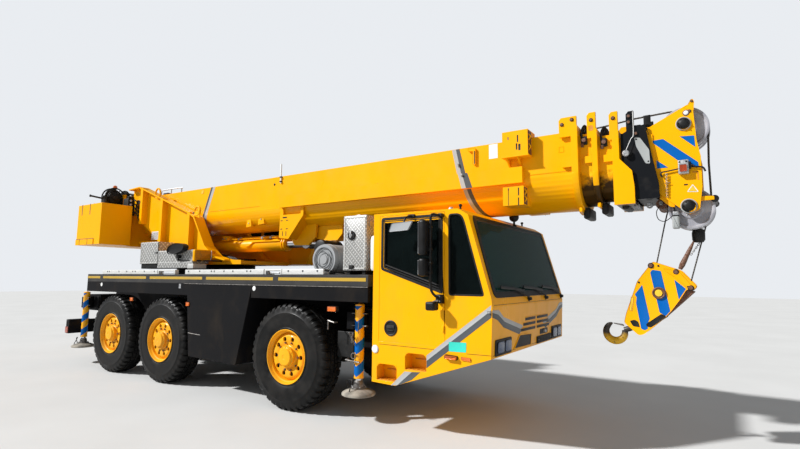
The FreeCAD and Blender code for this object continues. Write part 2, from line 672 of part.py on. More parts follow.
def build_operator_cab():
    near = S["opcab_side"]
    far = near + 640
    hull = prism("opcab_hull", "XZ", OPCAB_SIDE, (near, far))
    room = prism("opcab_room", "XZ", OPCAB_ROOM, (near + 50, far - 50))
    screen = prism("opcab_screen_hole", "XZ", OPCAB_SCREEN, (near + 60, far - 60))
    window = prism("opcab_window_hole", "XZ", OPCAB_SIDE_WINDOW, (near - 5, near + 55))
    doorway = prism("opcab_doorway", "XZ", OPCAB_DOORWAY, (far - 55, far + 5))
    finish(cut("operator_cab", hull, room, screen, window, doorway), "operator_cab")

    pane = prism("opcab_screen", "XZ", OPCAB_PANE, (near + 60, far - 60))
    side_pane = prism("opcab_side_pane", "XZ", OPCAB_SIDE_WINDOW, (near + 20, near + 28))
    finish(fuse("operator_glass", pane, side_pane), "operator_glass")

    seat = prism("operator_seat", "XZ", OPERATOR_SEAT, (near + 100, far - 130))
    desk = prism("operator_desk", "XZ", OPERATOR_DESK, (near + 50, far - 60))
    finish(fuse("operator_seat_desk", seat, desk), "operator_seat_desk")

    frame = prism("opdoor_frame", "XZ", OPDOOR, (far + 0.5, far + 30))
    hole = prism("opdoor_hole", "XZ", OPDOOR_WINDOW, (far - 5, far + 40))
    finish(cut("operator_door", frame, hole), "operator_door")
    finish(prism("operator_door_glass", "XZ", OPDOOR_WINDOW, (far + 10, far + 18)), "operator_door_glass")


SECTIONS = [
    ("1", S["boom_tail"], 3550, 70, 50, (3353, 3543, 3522)),
    ("2", aft(-1700), 3745, 60, 35, (3642, 3735, 3550)),
    ("3", aft(-1600), 3954, 68, 35, (3864, 3951, 3528)),
    ("4", aft(-1500), 4110, 140, 35, (4027, 4103, 3516)),
    ("5", aft(-1400), 4270, 70, 35, None),
]
SHIELD_3 = [(3886, 3040), (3954, 3000), (4071, 2860), (4089, 2690), (4089, 2508), (3886, 2508)]
SHIELD_4 = [
    (3970, 3270), (4110, 3345), (4207, 3345), (4249, 3066), (4312, 2700), (4312, 2555), (3970, 2555),
]
SHIELDS = {
    "3": (SHIELD_3, 302, (3900, 4089), (2508, 2545)),
    "4": (SHIELD_4, 262, (4100, 4312), (2555, 2590)),
}
EYE_PLATE = from_slew([(2150, 2820), (2150, 2352), (2242, 2240), (2550, 2230), (2700, 2350), (2740, 2820)])
BRACKET_SIDE = from_slew([
    (2101, 2831.9), (2090, 2352), (2300, 2326), (2615, 2689), (2620, 2831.9), (2560, 2831.9), (2560, 2720),
    (2170, 2720), (2170, 2831.9),
])
BRACKET_SLOPE = from_slew([
    (2150, 2352), (2300, 2330), (2600, 2680), (2570, 2690), (2290, 2360), (2150, 2380),
])


def tube_solid(name, span, inset):
    """The boom's section, flat on top and round below, smaller by inset all round."""
    half = S["boom_half"] - inset
    centre = S["boom_bottom"] + S["boom_half"]
    box = block(name + "_upper", span, (-half, half), (centre, S["boom_top"] - inset))
    keel = rod(name + "_keel", "X", (0, centre), span, half)
    return fuse(name, box, keel)


def base_fittings(solids):
    """What is welded to the base section: side bands, jib brackets and pad pockets."""
    for side_name, side in SIDES:
        low, up = sided(side, S["boom_half"] - 5, S["boom_half"] + 70)
        solids.append(block(f"band_{side_name}", (aft(2131), 2925), (low, up), (2832, 3022)))
        low, up = sided(side, 250, S["boom_half"] + 130)
        solids.append(block(f"jib_bracket_hi_{side_name}", (2710, 3020), (low, up), (3140, 3440)))
        solids.append(block(f"jib_bracket_lo_{side_name}", (2710, 2960), (low, up), (2560, 2780)))
        low, up = sided(side, S["boom_half"] - 5, S["boom_half"] + 45)
        solids.append(block(f"pad_pocket_{side_name}", (3377, 3490), (low, up), (2955, 3075)))
        low, up = sided(side, S["boom_half"] - 5, S["boom_half"] + 11.5)
        solids.append(rod(f"tail_boss_{side_name}", "Y", (S["pivot_x"], S["pivot_high"]), (low, up), 110))


def lift_bracket(tube):
    """The box under the base section that the lift cylinder pushes against."""
    plates = []
    for side_name, side in SIDES:
        low, up = sided(side, 150, 190)
        plates.append(prism(f"eye_plate_{side_name}", "XZ", EYE_PLATE, (low, up)))
        low, up = sided(side, 360, 390)
        plates.append(prism(f"bracket_side_{side_name}", "XZ", BRACKET_SIDE, (low, up)))
        low, up = sided(side, 170, 380)
        plates.append(block(f"bracket_rear_{side_name}", (aft(2140), aft(2170)), (low, up), (2352, 2831.9)))
        front = (aft(2570), aft(2600))
        plates.append(block(f"bracket_front_{side_name}", front, (low, up), (2660, 2831.9)))
        plates.append(prism(f"bracket_slope_{side_name}", "XZ", BRACKET_SLOPE, (low, up)))
    return cut("lift_bracket", fuse("lift_bracket_plates", *plates), tube)


def build_boom():
    for number, (label, tail, mouth, collar, lip, ear) in enumerate(SECTIONS):
        inset = S["section_step"] * number
        outer = tube_solid(f"tube_{label}_outer", (tail, mouth), inset)
        ring = tube_solid(f"tube_{label}_collar", (sized(mouth) - collar, mouth), inset - lip)
        solids = [outer, ring]
        hollow = (sized(tail) - 5, sized(mouth) - collar)
        tools = [tube_solid(f"tube_{label}_hollow", hollow, inset + S["boom_wall"])]
        if number < 4:
            step = inset + S["section_step"]
            through = (sized(mouth) - collar - 5, sized(mouth) + 5)
            tools.append(tube_solid(f"tube_{label}_mouth", through, step - S["slide_fit"]))
        edge = S["boom_half"] - inset + lip
        for side_name, side in SIDES:
            if ear:
                low, up = sided(side, edge - 35, edge)
                rear, front, top = ear
                solids.append(prism(
                    f"ear_{label}{side_name}", "XZ",
                    [(rear, 3300 - inset), (front, 3300 - inset), (front, top), (rear + 25, top),
                     (rear, top - 30)],
                    (low, up),
                ))
            if number in (1, 2):
                low, up = sided(side, edge - lip - 5, edge - 5)
                tab = sized(mouth) - collar
                along = (tab - 90, tab + 5)
                solids.append(block(f"pad_tab_{label}{side_name}", along, (low, up), (2985, 3065)))
            if label in SHIELDS:
                low, up = sided(side, SHIELDS[label][1], edge)
                solids.append(prism(f"shield_{label}{side_name}", "XZ", SHIELDS[label][0], (low, up)))
        if label in SHIELDS:
            along, tall = SHIELDS[label][2:]
            solids.append(block(f"shield_floor_{label}", along, (-edge, edge), tall))
        if number == 0:
            base_fittings(solids)
            tools.append(rod("pivot_bore", "Y", (S["pivot_x"], S["pivot_high"]), (-600, 600), 60))
        if number == 4:
            build_head(solids, tools)
            continue
        section = cut(f"boom_section_{label}", fuse(f"boom_solid_{label}", *solids), *tools)
        if number == 0:
            bracket = lift_bracket(tube_solid("bracket_seat", (tail, mouth), inset))
            section = group("boom_base", section, bracket)
        finish(section, f"boom_section_{label}")


HEAD_PLATE = [
    (4118, 3215), (4260, 3331), (4583, 3495), (4644, 3510), (4662, 3121), (4690, 2957), (4688, 2643),
    (4656, 2421), (4565, 2375), (4383, 2530), (4308, 2608), (4118, 2783),
]
TOP_SHEAVE = (4560, 3280)


def build_head(solids, tools):
    """The last section carries the head plates and the fixed sheaves' pins."""
    for side_name, side in SIDES:
        low, up = sided(side, 205, 240)
        solids.append(prism(f"head_plate_{side_name}", "XZ", HEAD_PLATE, (low, up)))
    solids.append(block("head_box", (4215, 4290), (-215, 215), (2680, 3330)))
    solids.append(rod("top_pin", "Y", TOP_SHEAVE, (-260, 260), 40))
    low_sheave = (S["sheave_x"], S["sheave_high"])
    solids.append(rod("low_pin", "Y", low_sheave, (-270, 270), 45))
    head = cut("boom_section_5", fuse("boom_solid_5", *solids), *tools)
    finish(head, "boom_section_5")
    sheaves = (("top", TOP_SHEAVE, 250, 40.3), ("low", low_sheave, S["sheave_radius"], 45.3))
    for name, spot, radius, bore in sheaves:
        rim = sized(radius)
        groove = rim - 25
        sheave = turned(
            f"sheaves_{name}", "Y",
            [(bore, -180), (rim, -180), (groove, -120), (rim, -60), (groove, 0), (rim, 60), (groove, 120),
             (rim, 180), (bore, 180)],
            (spot[0], 0, spot[1]),
        )
        finish(sheave, f"head_sheave_{name}")


def build_lift():
    high = S["lift_high"]
    bore_radius = S["rod_radius"] + S["fit"]
    barrel = rod("lift_barrel", "X", (0, high), (S["lift_x"] + 130, aft(1900)), S["lift_radius"])
    eye = rod("lift_foot", "Y", (S["lift_x"], high), (-79.5, 79.5), 95)
    neck = block("lift_neck", (S["lift_x"], S["lift_x"] + 150), (-70, 70), (high - 60, high + 60))
    bore = rod("lift_bore", "X", (0, high), (aft(-350), aft(1950)), bore_radius)
    hole = rod("lift_foot_hole", "Y", (S["lift_x"], high), (-200, 200), 40)
    finish(cut("lift_cylinder", fuse("lift_barrel_solid", barrel, eye, neck), bore, hole), "lift_cylinder")
    stem = rod("lift_stem", "X", (0, high), (aft(-250), S["lift_eye"]), S["rod_radius"])
    tip = rod("lift_tip", "Y", (S["lift_eye"], high), (-140, 140), 95)
    finish(fuse("lift_rod", stem, tip), "lift_rod")


HOOK_PLATE = [
    (4205, 1910), (4450, 1819), (4584, 1657), (4566, 1597), (4305, 1339), (4091, 1152), (4042, 1140),
    (3906, 1265), (3927, 1356), (4049, 1703),
]


def rope_fall(name, start, side, forward):
    """A fall from the hook block to where it leaves the groove of the lower sheave."""
    groove = float(S["sheave_radius"]) - 25 + 9 * math.hypot(1, 25 / 60) + float(S["fit"])
    away_x = start[0] - float(S["sheave_x"])
    away_z = start[1] - float(S["sheave_high"])
    reach = math.hypot(away_x, away_z)
    bearing = math.atan2(away_z, away_x) + (1 if forward else -1) * math.acos(groove / reach)
    top = (
        float(S["sheave_x"]) + groove * math.cos(bearing),
        float(S["sheave_high"]) + groove * math.sin(bearing),
    )
    lean = math.degrees(math.atan2(top[0] - start[0], top[1] - start[1]))
    fall = doc.addObject("Part::Cylinder", name)
    fall.Radius = 9
    fall.Height = math.hypot(top[0] - start[0], top[1] - start[1])
    return put(fall, start[0], 120 * side, start[1], turn=FreeCAD.Rotation(FreeCAD.Vector(0, 1, 0), lean))


HOOK_ROOT = (3974, 1202)
HOOK_BOWL = (3790, 1150)


def build_hook():
    """The block hangs from its falls, the forged hook turns in the block's lower edge."""
    solids = [prism("hook_block_plates", "XZ", HOOK_PLATE, (-160, 160))]
    solids.append(rod("hook_block_pin", "Y", (4250, 1580), (-185, 185), 60))
    for side_name, side in SIDES:
        solids.append(rope_fall(f"fall_rear_{side_name}", (4310, 1840), side, False))
        solids.append(rope_fall(f"fall_front_{side_name}", (4500, 1720), side, True))
    along_x = HOOK_BOWL[0] - HOOK_ROOT[0]
    along_z = HOOK_BOWL[1] - HOOK_ROOT[1]
    lean = FreeCAD.Rotation(FreeCAD.Vector(0, 1, 0), math.degrees(math.atan2(along_x, along_z)))
    unit_x = along_x / math.hypot(along_x, along_z)
    unit_z = along_z / math.hypot(along_x, along_z)
    nose = doc.addObject("Part::Cylinder", "hook_nose")
    nose.Radius = 48
    nose.Height = 90
    solids.append(put(nose, HOOK_ROOT[0] - 60 * unit_x, 0, HOOK_ROOT[1] - 60 * unit_z, turn=lean))
    finish(fuse("hook_block", *solids), "hook_block")
    shank = doc.addObject("Part::Cylinder", "hook_shank")
    shank.Radius = 30
    shank.Height = 75
    put(shank, HOOK_ROOT[0] + 30.3 * unit_x, 0, HOOK_ROOT[1] + 30.3 * unit_z, turn=lean)
    bowl = doc.addObject("Part::Torus", "hook_bowl")
    bowl.Radius1 = 100
    bowl.Radius2 = 34
    bowl.Angle3 = 285
    spin = FreeCAD.Rotation(FreeCAD.Vector(0, 1, 0), 15) * FreeCAD.Rotation(FreeCAD.Vector(1, 0, 0), 90)
    put(bowl, HOOK_BOWL[0], 0, HOOK_BOWL[1], turn=spin)
    finish(fuse("hook", shank, bowl), "hook")


build_chassis()
build_axles()
build_wheels()
build_deck()
build_outriggers()
build_cab()
build_deck_gear()
build_turntable()
build_operator_cab()
build_boom()
build_lift()
build_hook()

doc.recompute()
for obj in doc.Objects:
    if "Invalid" in obj.State or "Error" in obj.State:
        raise RuntimeError(f"{obj.Name} failed: {obj.State}")
for node, obj in FINISHED:
    shape = obj.Shape
    if shape.isNull() or not shape.isValid() or shape.Volume < 1:
        raise RuntimeError(f"{node} has no valid solid")
    shape.exportStep(f"parts/{node}.step")
print(len(FINISHED), "sub-parts written")
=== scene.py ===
"""Yellow three-axle all-terrain crane: paint, tyres, trim and rigging over the CAD frame."""

import json
import math

import bmesh
import bpy
import numpy as np
from bpy.props import FloatProperty, FloatVectorProperty, IntProperty, PointerProperty
from mathutils import Matrix, Vector


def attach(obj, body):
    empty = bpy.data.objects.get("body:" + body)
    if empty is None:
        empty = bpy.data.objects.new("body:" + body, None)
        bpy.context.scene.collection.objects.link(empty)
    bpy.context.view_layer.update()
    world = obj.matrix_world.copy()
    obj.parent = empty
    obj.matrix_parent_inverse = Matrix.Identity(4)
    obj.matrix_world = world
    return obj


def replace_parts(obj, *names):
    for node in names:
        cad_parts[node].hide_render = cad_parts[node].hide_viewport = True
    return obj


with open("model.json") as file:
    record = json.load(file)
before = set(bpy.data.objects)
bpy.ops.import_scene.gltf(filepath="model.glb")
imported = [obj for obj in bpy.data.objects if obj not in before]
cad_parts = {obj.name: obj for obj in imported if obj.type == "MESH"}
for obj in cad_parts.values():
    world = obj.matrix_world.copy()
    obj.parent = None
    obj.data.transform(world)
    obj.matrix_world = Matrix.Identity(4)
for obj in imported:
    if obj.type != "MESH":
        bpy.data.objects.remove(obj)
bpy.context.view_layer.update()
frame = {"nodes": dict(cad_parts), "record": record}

bl_info = {
    "name": "All-terrain crane dressing",
    "version": (1, 0, 0),
    "blender": (4, 5, 0),
    "location": "3D View > Sidebar > Crane",
    "description": "Builds the paint, tyres, trim, lamps and rigging of a three-axle crane over its CAD frame",
    "category": "Object",
}

AXLE_1 = 0.735
SIDES = (("r", -1.0), ("l", 1.0))
WHEELS = (("1", 0.0), ("2", -2.91), ("3", -4.50))
TURN = 2.0 * math.pi


def colour_setting(name, description, default):
    return FloatVectorProperty(name=name, description=description, subtype="COLOR", size=3, min=0, max=1, default=default)


class PaintSettings(bpy.types.PropertyGroup):
    yellow: colour_setting("Yellow", "Body and boom paint", (0.95, 0.43, 0.0))
    black: colour_setting("Black", "Frame and side panels", (0.008, 0.008, 0.009))
    blue: colour_setting("Blue", "Warning stripes on jacks, head and hook block", (0.0, 0.115, 0.44))
    stripe_grey: colour_setting("Stripe grey", "Pale half of the two-tone stripes", (0.42, 0.43, 0.43))
    stripe_dark: colour_setting("Stripe dark", "Dark half of the two-tone stripes", (0.085, 0.095, 0.105))


class TyreSettings(bpy.types.PropertyGroup):
    lugs: IntProperty(name="Lugs", description="Shoulder lugs around each tyre", default=40, min=20, max=60)
    depth: FloatProperty(name="Tread depth", description="Depth of the tread grooves", unit="LENGTH", default=0.020)


class StageSettings(bpy.types.PropertyGroup):
    floor: colour_setting("Floor", "Pale studio floor", (0.62, 0.62, 0.61))
    lens: FloatProperty(name="Lens", description="Focal length over a 36 mm wide sensor", subtype="DISTANCE_CAMERA", default=21.913)


class Field:
    """A number carried by a shader socket; arithmetic on it adds Math nodes."""

    def __init__(self, shader, socket):
        self.shader = shader
        self.socket = socket

    def _math(self, operation, *values):
        return Field(self.shader, self.shader.node("ShaderNodeMath", {"operation": operation}, values))

    def __add__(self, other):
        return self._math("ADD", self, other)

    def __sub__(self, other):
        return self._math("SUBTRACT", self, other)

    def __rsub__(self, other):
        return self._math("SUBTRACT", other, self)

    def __mul__(self, other):
        return self._math("MULTIPLY", self, other)

    def __truediv__(self, other):
        return self._math("DIVIDE", self, other)

    def __gt__(self, other):
        return self._math("GREATER_THAN", self, other)

    def __lt__(self, other):
        return self._math("LESS_THAN", self, other)

    def __mod__(self, other):
        return self._math("FLOORED_MODULO", self, other)

    def __pow__(self, other):
        return self._math("POWER", self, other)

    def __abs__(self):
        return self._math("ABSOLUTE", self)

    def sin(self):
        return self._math("SINE", self)

    def least(self, other):
        return self._math("MINIMUM", self, other)

    def most(self, other):
        return self._math("MAXIMUM", self, other)

    __radd__ = __add__
    __rmul__ = __mul__


class Shader:
    """One material and the few calls that fill it."""

    def __init__(self, name):
        self.material = bpy.data.materials.new(name)
        self.material.use_nodes = True
        self.tree = self.material.node_tree
        self.surface = self.tree.nodes["Principled BSDF"]
        self.coordinates = None

    def node(self, kind, settings=None, inputs=(), output=0):
        made = self.tree.nodes.new(kind)
        for key, value in (settings or {}).items():
            setattr(made, key, value)
        pairs = inputs.items() if isinstance(inputs, dict) else enumerate(inputs)
        for key, value in pairs:
            self.feed(made.inputs[key], value)
        return made.outputs[output]

    def feed(self, socket, value):
        if isinstance(value, Field):
            value = value.socket
        if isinstance(value, bpy.types.NodeSocket):
            self.tree.links.new(value, socket)
        elif socket.type == "RGBA":
            socket.default_value = (*value, 1.0)
        else:
            socket.default_value = value

    def spot(self):
        """The object coordinates, one socket for the whole material."""
        if self.coordinates is None:
            self.coordinates = self.node("ShaderNodeTexCoord", output=3)
        return self.coordinates

    def axes(self):
        split = self.tree.nodes.new("ShaderNodeSeparateXYZ")
        self.feed(split.inputs[0], self.spot())
        return [Field(self, out) for out in split.outputs]

    def normals(self):
        split = self.tree.nodes.new("ShaderNodeSeparateXYZ")
        self.feed(split.inputs[0], self.node("ShaderNodeNewGeometry", output=1))
        return [Field(self, out) for out in split.outputs]

    def noise(self, scale, detail=4.0, stretch=None, roughness=0.55):
        place = self.spot()
        if stretch:
            place = self.node("ShaderNodeMapping", None, {"Vector": place, "Scale": stretch})
        return Field(self, self.node("ShaderNodeTexNoise", None, {"Vector": place, "Scale": scale, "Detail": detail, "Roughness": roughness}))

    def ramp(self, value, low, high, start=0.0, end=1.0):
        """Maps low..high on to start..end, held at both ends."""
        socket = self.node("ShaderNodeMapRange", {"clamp": True}, {"Value": value, "From Min": low, "From Max": high, "To Min": start, "To Max": end})
        return Field(self, socket)

    def mix(self, factor, first, second):
        made = self.tree.nodes.new("ShaderNodeMix")
        made.data_type = "RGBA"
        self.feed(made.inputs["Factor"], factor)
        self.feed(made.inputs[6], first)
        self.feed(made.inputs[7], second)
        return made.outputs[2]

    def bump(self, height, distance, strength=1.0):
        return self.node("ShaderNodeBump", None, {"Height": height, "Distance": distance, "Strength": strength})

    def set(self, **inputs):
        for key, value in inputs.items():
            self.feed(self.surface.inputs[key.replace("_", " ")], value)
        return self.material


MATERIALS = {}


def material(make):
    """Keeps one material for each maker, built when it is first asked for."""
    def cached():
        name = make.__name__
        if name not in MATERIALS:
            MATERIALS[name] = make(Shader(name))
        return MATERIALS[name]
    cached.__name__ = make.__name__
    return cached


def paints():
    return bpy.context.scene.crane_paint


def painted(shader, colour, roughness=0.3, grime=0.25, coat=0.05, shine=0.12):
    """Glossy paint, a little uneven, with road dust that settles low down."""
    x, y, z = shader.axes()
    uneven = shader.noise(1.7, 5.0)
    streak = shader.noise(2.6, 6.0, (1.6, 1.6, 0.9))
    shade = shader.ramp(uneven, 0.35, 0.65)
    deep = shader.node("ShaderNodeMix", {"data_type": "RGBA", "blend_type": "MULTIPLY"}, {"Factor": 1.0, 6: colour, 7: (0.93, 0.90, 0.86)}, 2)
    base = shader.mix(shade * 0.6, colour, deep)
    dust = shader.ramp(streak, 0.5, 0.78) * shader.ramp(z, 2.4, 0.4, 0.15, 1.0) * grime
    base = shader.mix(dust, base, (0.16, 0.11, 0.06))
    skin = shader.noise(160.0, 2.0)
    return shader.set(
        Base_Color=base,
        Roughness=shader.ramp(streak, 0.3, 0.8, roughness - 0.05, roughness + 0.18),
        Coat_Weight=coat,
        Coat_Roughness=0.12,
        Specular_IOR_Level=shine,
        Normal=shader.bump(skin, 0.0004, 0.25),
    )


@material
def yellow_paint(shader):
    return painted(shader, tuple(paints().yellow))


@material
def black_paint(shader):
    return painted(shader, tuple(paints().black), 0.5, 0.12, 0.02, 0.06)


@material
def deck_grey(shader):
    base = shader.mix(shader.ramp(shader.noise(3.0, 6.0), 0.35, 0.7), (0.030, 0.030, 0.031), (0.055, 0.052, 0.048))
    return shader.set(Specular_IOR_Level=0.15, Base_Color=base, Roughness=shader.ramp(shader.noise(9.0), 0.3, 0.7, 0.4, 0.7), Normal=shader.bump(shader.noise(220.0), 0.0006, 0.4))


def chequer(shader, pitch):
    """Tread plate: short raised bars in two directions by turns."""
    x, y, z = shader.axes()
    nx, ny, nz = shader.normals()
    along = x * (abs(nx) < 0.7) + y * (abs(nx) > 0.7)
    across = z * (abs(nz) < 0.7) + y * (abs(nz) > 0.7)
    u = (along + across) / pitch
    v = (along - across) / pitch
    cell = ((u % 2.0) > 1.0)
    bar_u = (abs((u % 1.0) - 0.5) < 0.16) * (abs((v % 1.0) - 0.5) < 0.40) * cell
    bar_v = (abs((v % 1.0) - 0.5) < 0.16) * (abs((u % 1.0) - 0.5) < 0.40) * (1.0 - cell)
    bars = bar_u.most(bar_v)
    base = shader.mix(bars, (0.30, 0.30, 0.29), (0.66, 0.66, 0.64))
    base = shader.mix(shader.ramp(shader.noise(4.0, 6.0), 0.5, 0.8) * 0.4, base, (0.22, 0.21, 0.19))
    return shader.set(Base_Color=base, Metallic=0.3, Roughness=shader.ramp(shader.noise(30.0), 0.3, 0.7, 0.32, 0.5), Normal=shader.bump(bars, 0.002, 0.8))


@material
def chequer_aluminium(shader):
    return chequer(shader, 0.052)


@material
def chequer_wide(shader):
    return chequer(shader, 0.082)


@material
def plank_aluminium(shader):
    """Plain extruded aluminium, brushed along its length."""
    brushed = shader.noise(60.0, 3.0, (0.3, 6.0, 6.0))
    base = shader.mix(shader.ramp(brushed, 0.3, 0.7), (0.50, 0.50, 0.48), (0.70, 0.70, 0.68))
    base = shader.mix(shader.ramp(shader.noise(5.0, 6.0), 0.60, 0.78) * 0.4, base, (0.20, 0.19, 0.17))
    return shader.set(Base_Color=base, Metallic=0.2, Roughness=shader.ramp(brushed, 0.3, 0.7, 0.38, 0.55))


@material
def tyre_rubber(shader):
    x, y, z = shader.axes()
    dust = shader.ramp(shader.noise(6.0, 6.0), 0.4, 0.75)
    base = shader.mix(dust * 0.5, (0.005, 0.005, 0.005), (0.030, 0.027, 0.024))
    return shader.set(Specular_IOR_Level=0.16, Base_Color=base, Roughness=shader.ramp(dust, 0.0, 1.0, 0.38, 0.7), Normal=shader.bump(shader.noise(90.0), 0.0008, 0.4))


@material
def rim_yellow(shader):
    return painted(shader, (0.86, 0.40, 0.01), 0.4, 0.5, 0.1)


@material
def dark_glass(shader):
    """Green-black tinted glass, a little clearer towards the top, where the sky shows through; panes facing forward get
    a brighter teal, a painted reflection.
    """
    x, y, z = shader.axes()
    base = shader.mix(shader.ramp(shader.noise(2.0), 0.3, 0.7), (0.002, 0.003, 0.003), (0.004, 0.007, 0.007))
    nx, ny, nz = shader.normals()
    # painted reflection: faces turned forward take a brighter teal
    base = shader.mix(shader.ramp(nx, 0.5, 0.9), base, (0.010, 0.036, 0.033))
    return shader.set(Base_Color=base, Roughness=0.04, Specular_IOR_Level=0.04, Alpha=shader.ramp(z, 1.5, 2.4, 0.96, 0.90))


@material
def cab_trim(shader):
    base = shader.mix(shader.ramp(shader.noise(14.0), 0.35, 0.7), (0.018, 0.018, 0.019), (0.040, 0.038, 0.036))
    return shader.set(Specular_IOR_Level=0.25, Base_Color=base, Roughness=0.7, Normal=shader.bump(shader.noise(300.0), 0.0008, 0.5))


@material
def mirror_black(shader):
    base = shader.mix(shader.ramp(shader.noise(8.0), 0.35, 0.7), (0.006, 0.006, 0.006), (0.014, 0.014, 0.015))
    return shader.set(Specular_IOR_Level=0.2, Base_Color=base, Roughness=0.4, Normal=shader.bump(shader.noise(400.0), 0.0005, 0.4))


@material
def jack_yellow(shader):
    """Jack paint, scuffed down to primer in spots."""
    scuff = shader.ramp(shader.noise(24.0, 6.0), 0.58, 0.72)
    base = shader.mix(scuff * 0.6, tuple(paints().yellow), (0.10, 0.08, 0.05))
    return shader.set(Base_Color=base, Roughness=0.4, Coat_Weight=0.1)


@material
def dusty_plate(shader):
    """Galvanised plate under pale dust in patches."""
    dust = shader.ramp(shader.noise(7.0, 6.0), 0.3, 0.65)
    base = shader.mix(dust, (0.14, 0.13, 0.115), (0.42, 0.38, 0.31))
    return shader.set(Base_Color=base, Roughness=0.85, Normal=shader.bump(dust, 0.001, 0.4))


@material
def reflector_yellow(shader):
    """Retro-reflective tape: small cells with pale borders."""
    x, y, z = shader.axes()
    cells = abs((x * 260.0).sin()).most(abs((z * 300.0).sin()))
    base = shader.mix(shader.ramp(cells, 0.9, 1.0), (0.45, 0.27, 0.01), (0.55, 0.36, 0.04))
    base = shader.mix(shader.ramp(shader.noise(2.0, 5.0), 0.5, 0.8) * 0.5, base, (0.30, 0.20, 0.07))
    return shader.set(Base_Color=base, Roughness=0.35, Coat_Weight=0.3)


@material
def worn_steel(shader):
    wear = shader.ramp(shader.noise(18.0, 7.0), 0.35, 0.7)
    base = shader.mix(wear, (0.10, 0.095, 0.09), (0.30, 0.28, 0.26))
    return shader.set(Base_Color=base, Metallic=0.7, Roughness=shader.ramp(wear, 0.0, 1.0, 0.6, 0.38), Normal=shader.bump(wear, 0.0008, 0.5))


@material
def axle_black(shader):
    base = shader.mix(shader.ramp(shader.noise(10.0, 6.0), 0.4, 0.7), (0.008, 0.008, 0.008), (0.040, 0.033, 0.027))
    return shader.set(Specular_IOR_Level=0.2, Base_Color=base, Roughness=0.65, Normal=shader.bump(shader.noise(120.0), 0.001, 0.5))


@material
def cleaner_grey(shader):
    return painted(shader, (0.34, 0.355, 0.37), 0.4, 0.25, 0.1)


@material
def chrome_rod(shader):
    base = shader.mix(shader.ramp(shader.noise(40.0, 3.0, (1.0, 20.0, 20.0)), 0.4, 0.7), (0.62, 0.63, 0.64), (0.75, 0.76, 0.77))
    return shader.set(Base_Color=base, Metallic=1.0, Roughness=0.14)


@material
def sheave_grey(shader):
    base = shader.mix(shader.ramp(shader.noise(16.0, 5.0), 0.4, 0.7), (0.42, 0.42, 0.41), (0.60, 0.60, 0.59))
    return shader.set(Base_Color=base, Roughness=0.45, Normal=shader.bump(shader.noise(90.0), 0.0006, 0.4))


@material
def stripe_pale(shader):
    return painted(shader, tuple(paints().stripe_grey), 0.4, 0.2, 0.2)


@material
def stripe_dark(shader):
    return painted(shader, tuple(paints().stripe_dark), 0.4, 0.2, 0.2)


@material
def gasket_black(shader):
    base = shader.mix(shader.ramp(shader.noise(12.0), 0.35, 0.7), (0.006, 0.006, 0.006), (0.018, 0.018, 0.018))
    return shader.set(Specular_IOR_Level=0.25, Base_Color=base, Roughness=0.5, Normal=shader.bump(shader.noise(180.0), 0.0005, 0.4))


def lens(shader, deep, bright):
    """A moulded lamp lens: upright ribs with a painted highlight, brighter on their crests."""
    x, y, z = shader.axes()
    ribs = ((x + y) * 520.0).sin() * 0.5 + 0.5
    # painted highlight: the rib crests take the brighter colour
    base = shader.mix(ribs, deep, bright)
    return shader.set(Base_Color=base, Roughness=0.18, Coat_Weight=0.7, Normal=shader.bump(ribs, 0.002, 0.6))


@material
def lamp_orange(shader):
    return lens(shader, (0.55, 0.09, 0.004), (0.85, 0.20, 0.012))


@material
def lamp_red(shader):
    return lens(shader, (0.25, 0.020, 0.003), (0.40, 0.060, 0.010))


@material
def lamp_clear(shader):
    x, y, z = shader.axes()
    cells = (abs((y * 260.0).sin()) * abs((z * 260.0).sin())) ** 0.5
    base = shader.mix(cells, (0.020, 0.030, 0.060), (0.12, 0.16, 0.26))
    return shader.set(Base_Color=base, Specular_IOR_Level=0.3, Roughness=0.14, Coat_Weight=0.1, Normal=shader.bump(cells, 0.002, 0.5))


def plain_sign(shader, colour):
    """A blank coated plate, slightly faded and dusty."""
    base = shader.mix(shader.ramp(shader.noise(30.0, 5.0), 0.35, 0.75) * 0.4, colour, tuple(0.72 * part + 0.04 for part in colour))
    return shader.set(Base_Color=base, Roughness=0.42, Coat_Weight=0.2)


@material
def sign_teal(shader):
    return plain_sign(shader, (0.02, 0.62, 0.50))


@material
def sign_white(shader):
    return plain_sign(shader, (0.80, 0.80, 0.78))


@material
def sign_yellow(shader):
    return plain_sign(shader, (0.85, 0.52, 0.02))


@material
def zinc(shader):
    spangle = shader.ramp(shader.noise(70.0, 3.0), 0.35, 0.65)
    base = shader.mix(spangle, (0.34, 0.35, 0.36), (0.52, 0.53, 0.54))
    return shader.set(Base_Color=base, Metallic=0.75, Roughness=shader.ramp(spangle, 0.0, 1.0, 0.35, 0.52), Normal=shader.bump(spangle, 0.0005, 0.4))


@material
def mesh_black(shader):
    """Woven wire over an opening drawn near black: painted shade between the wires."""
    x, y, z = shader.axes()
    wires = abs(((y + z) * 330.0).sin()).most(abs(((y - z) * 330.0).sin()))
    raised = shader.ramp(wires, 0.80, 0.95)
    # painted shade: the gaps between the wires are near black
    base = shader.mix(raised, (0.003, 0.003, 0.003), (0.035, 0.035, 0.036))
    return shader.set(Base_Color=base, Roughness=0.55, Normal=shader.bump(raised, 0.004, 0.8))


@material
def tread_orange(shader):
    """Orange for yellow paint in shadow, painted shade inside steps and hollows, worn where boots land."""
    wear = shader.ramp(shader.noise(26.0, 6.0), 0.5, 0.72)
    # painted shade: this darker orange stands for yellow paint in shadow; the noise adds wear
    base = shader.mix(wear * 0.6, (0.62, 0.24, 0.0), (0.16, 0.10, 0.05))
    return shader.set(Base_Color=base, Roughness=0.55)


@material
def accent_blue(shader):
    return painted(shader, tuple(paints().blue), 0.35, 0.1, 0.05)


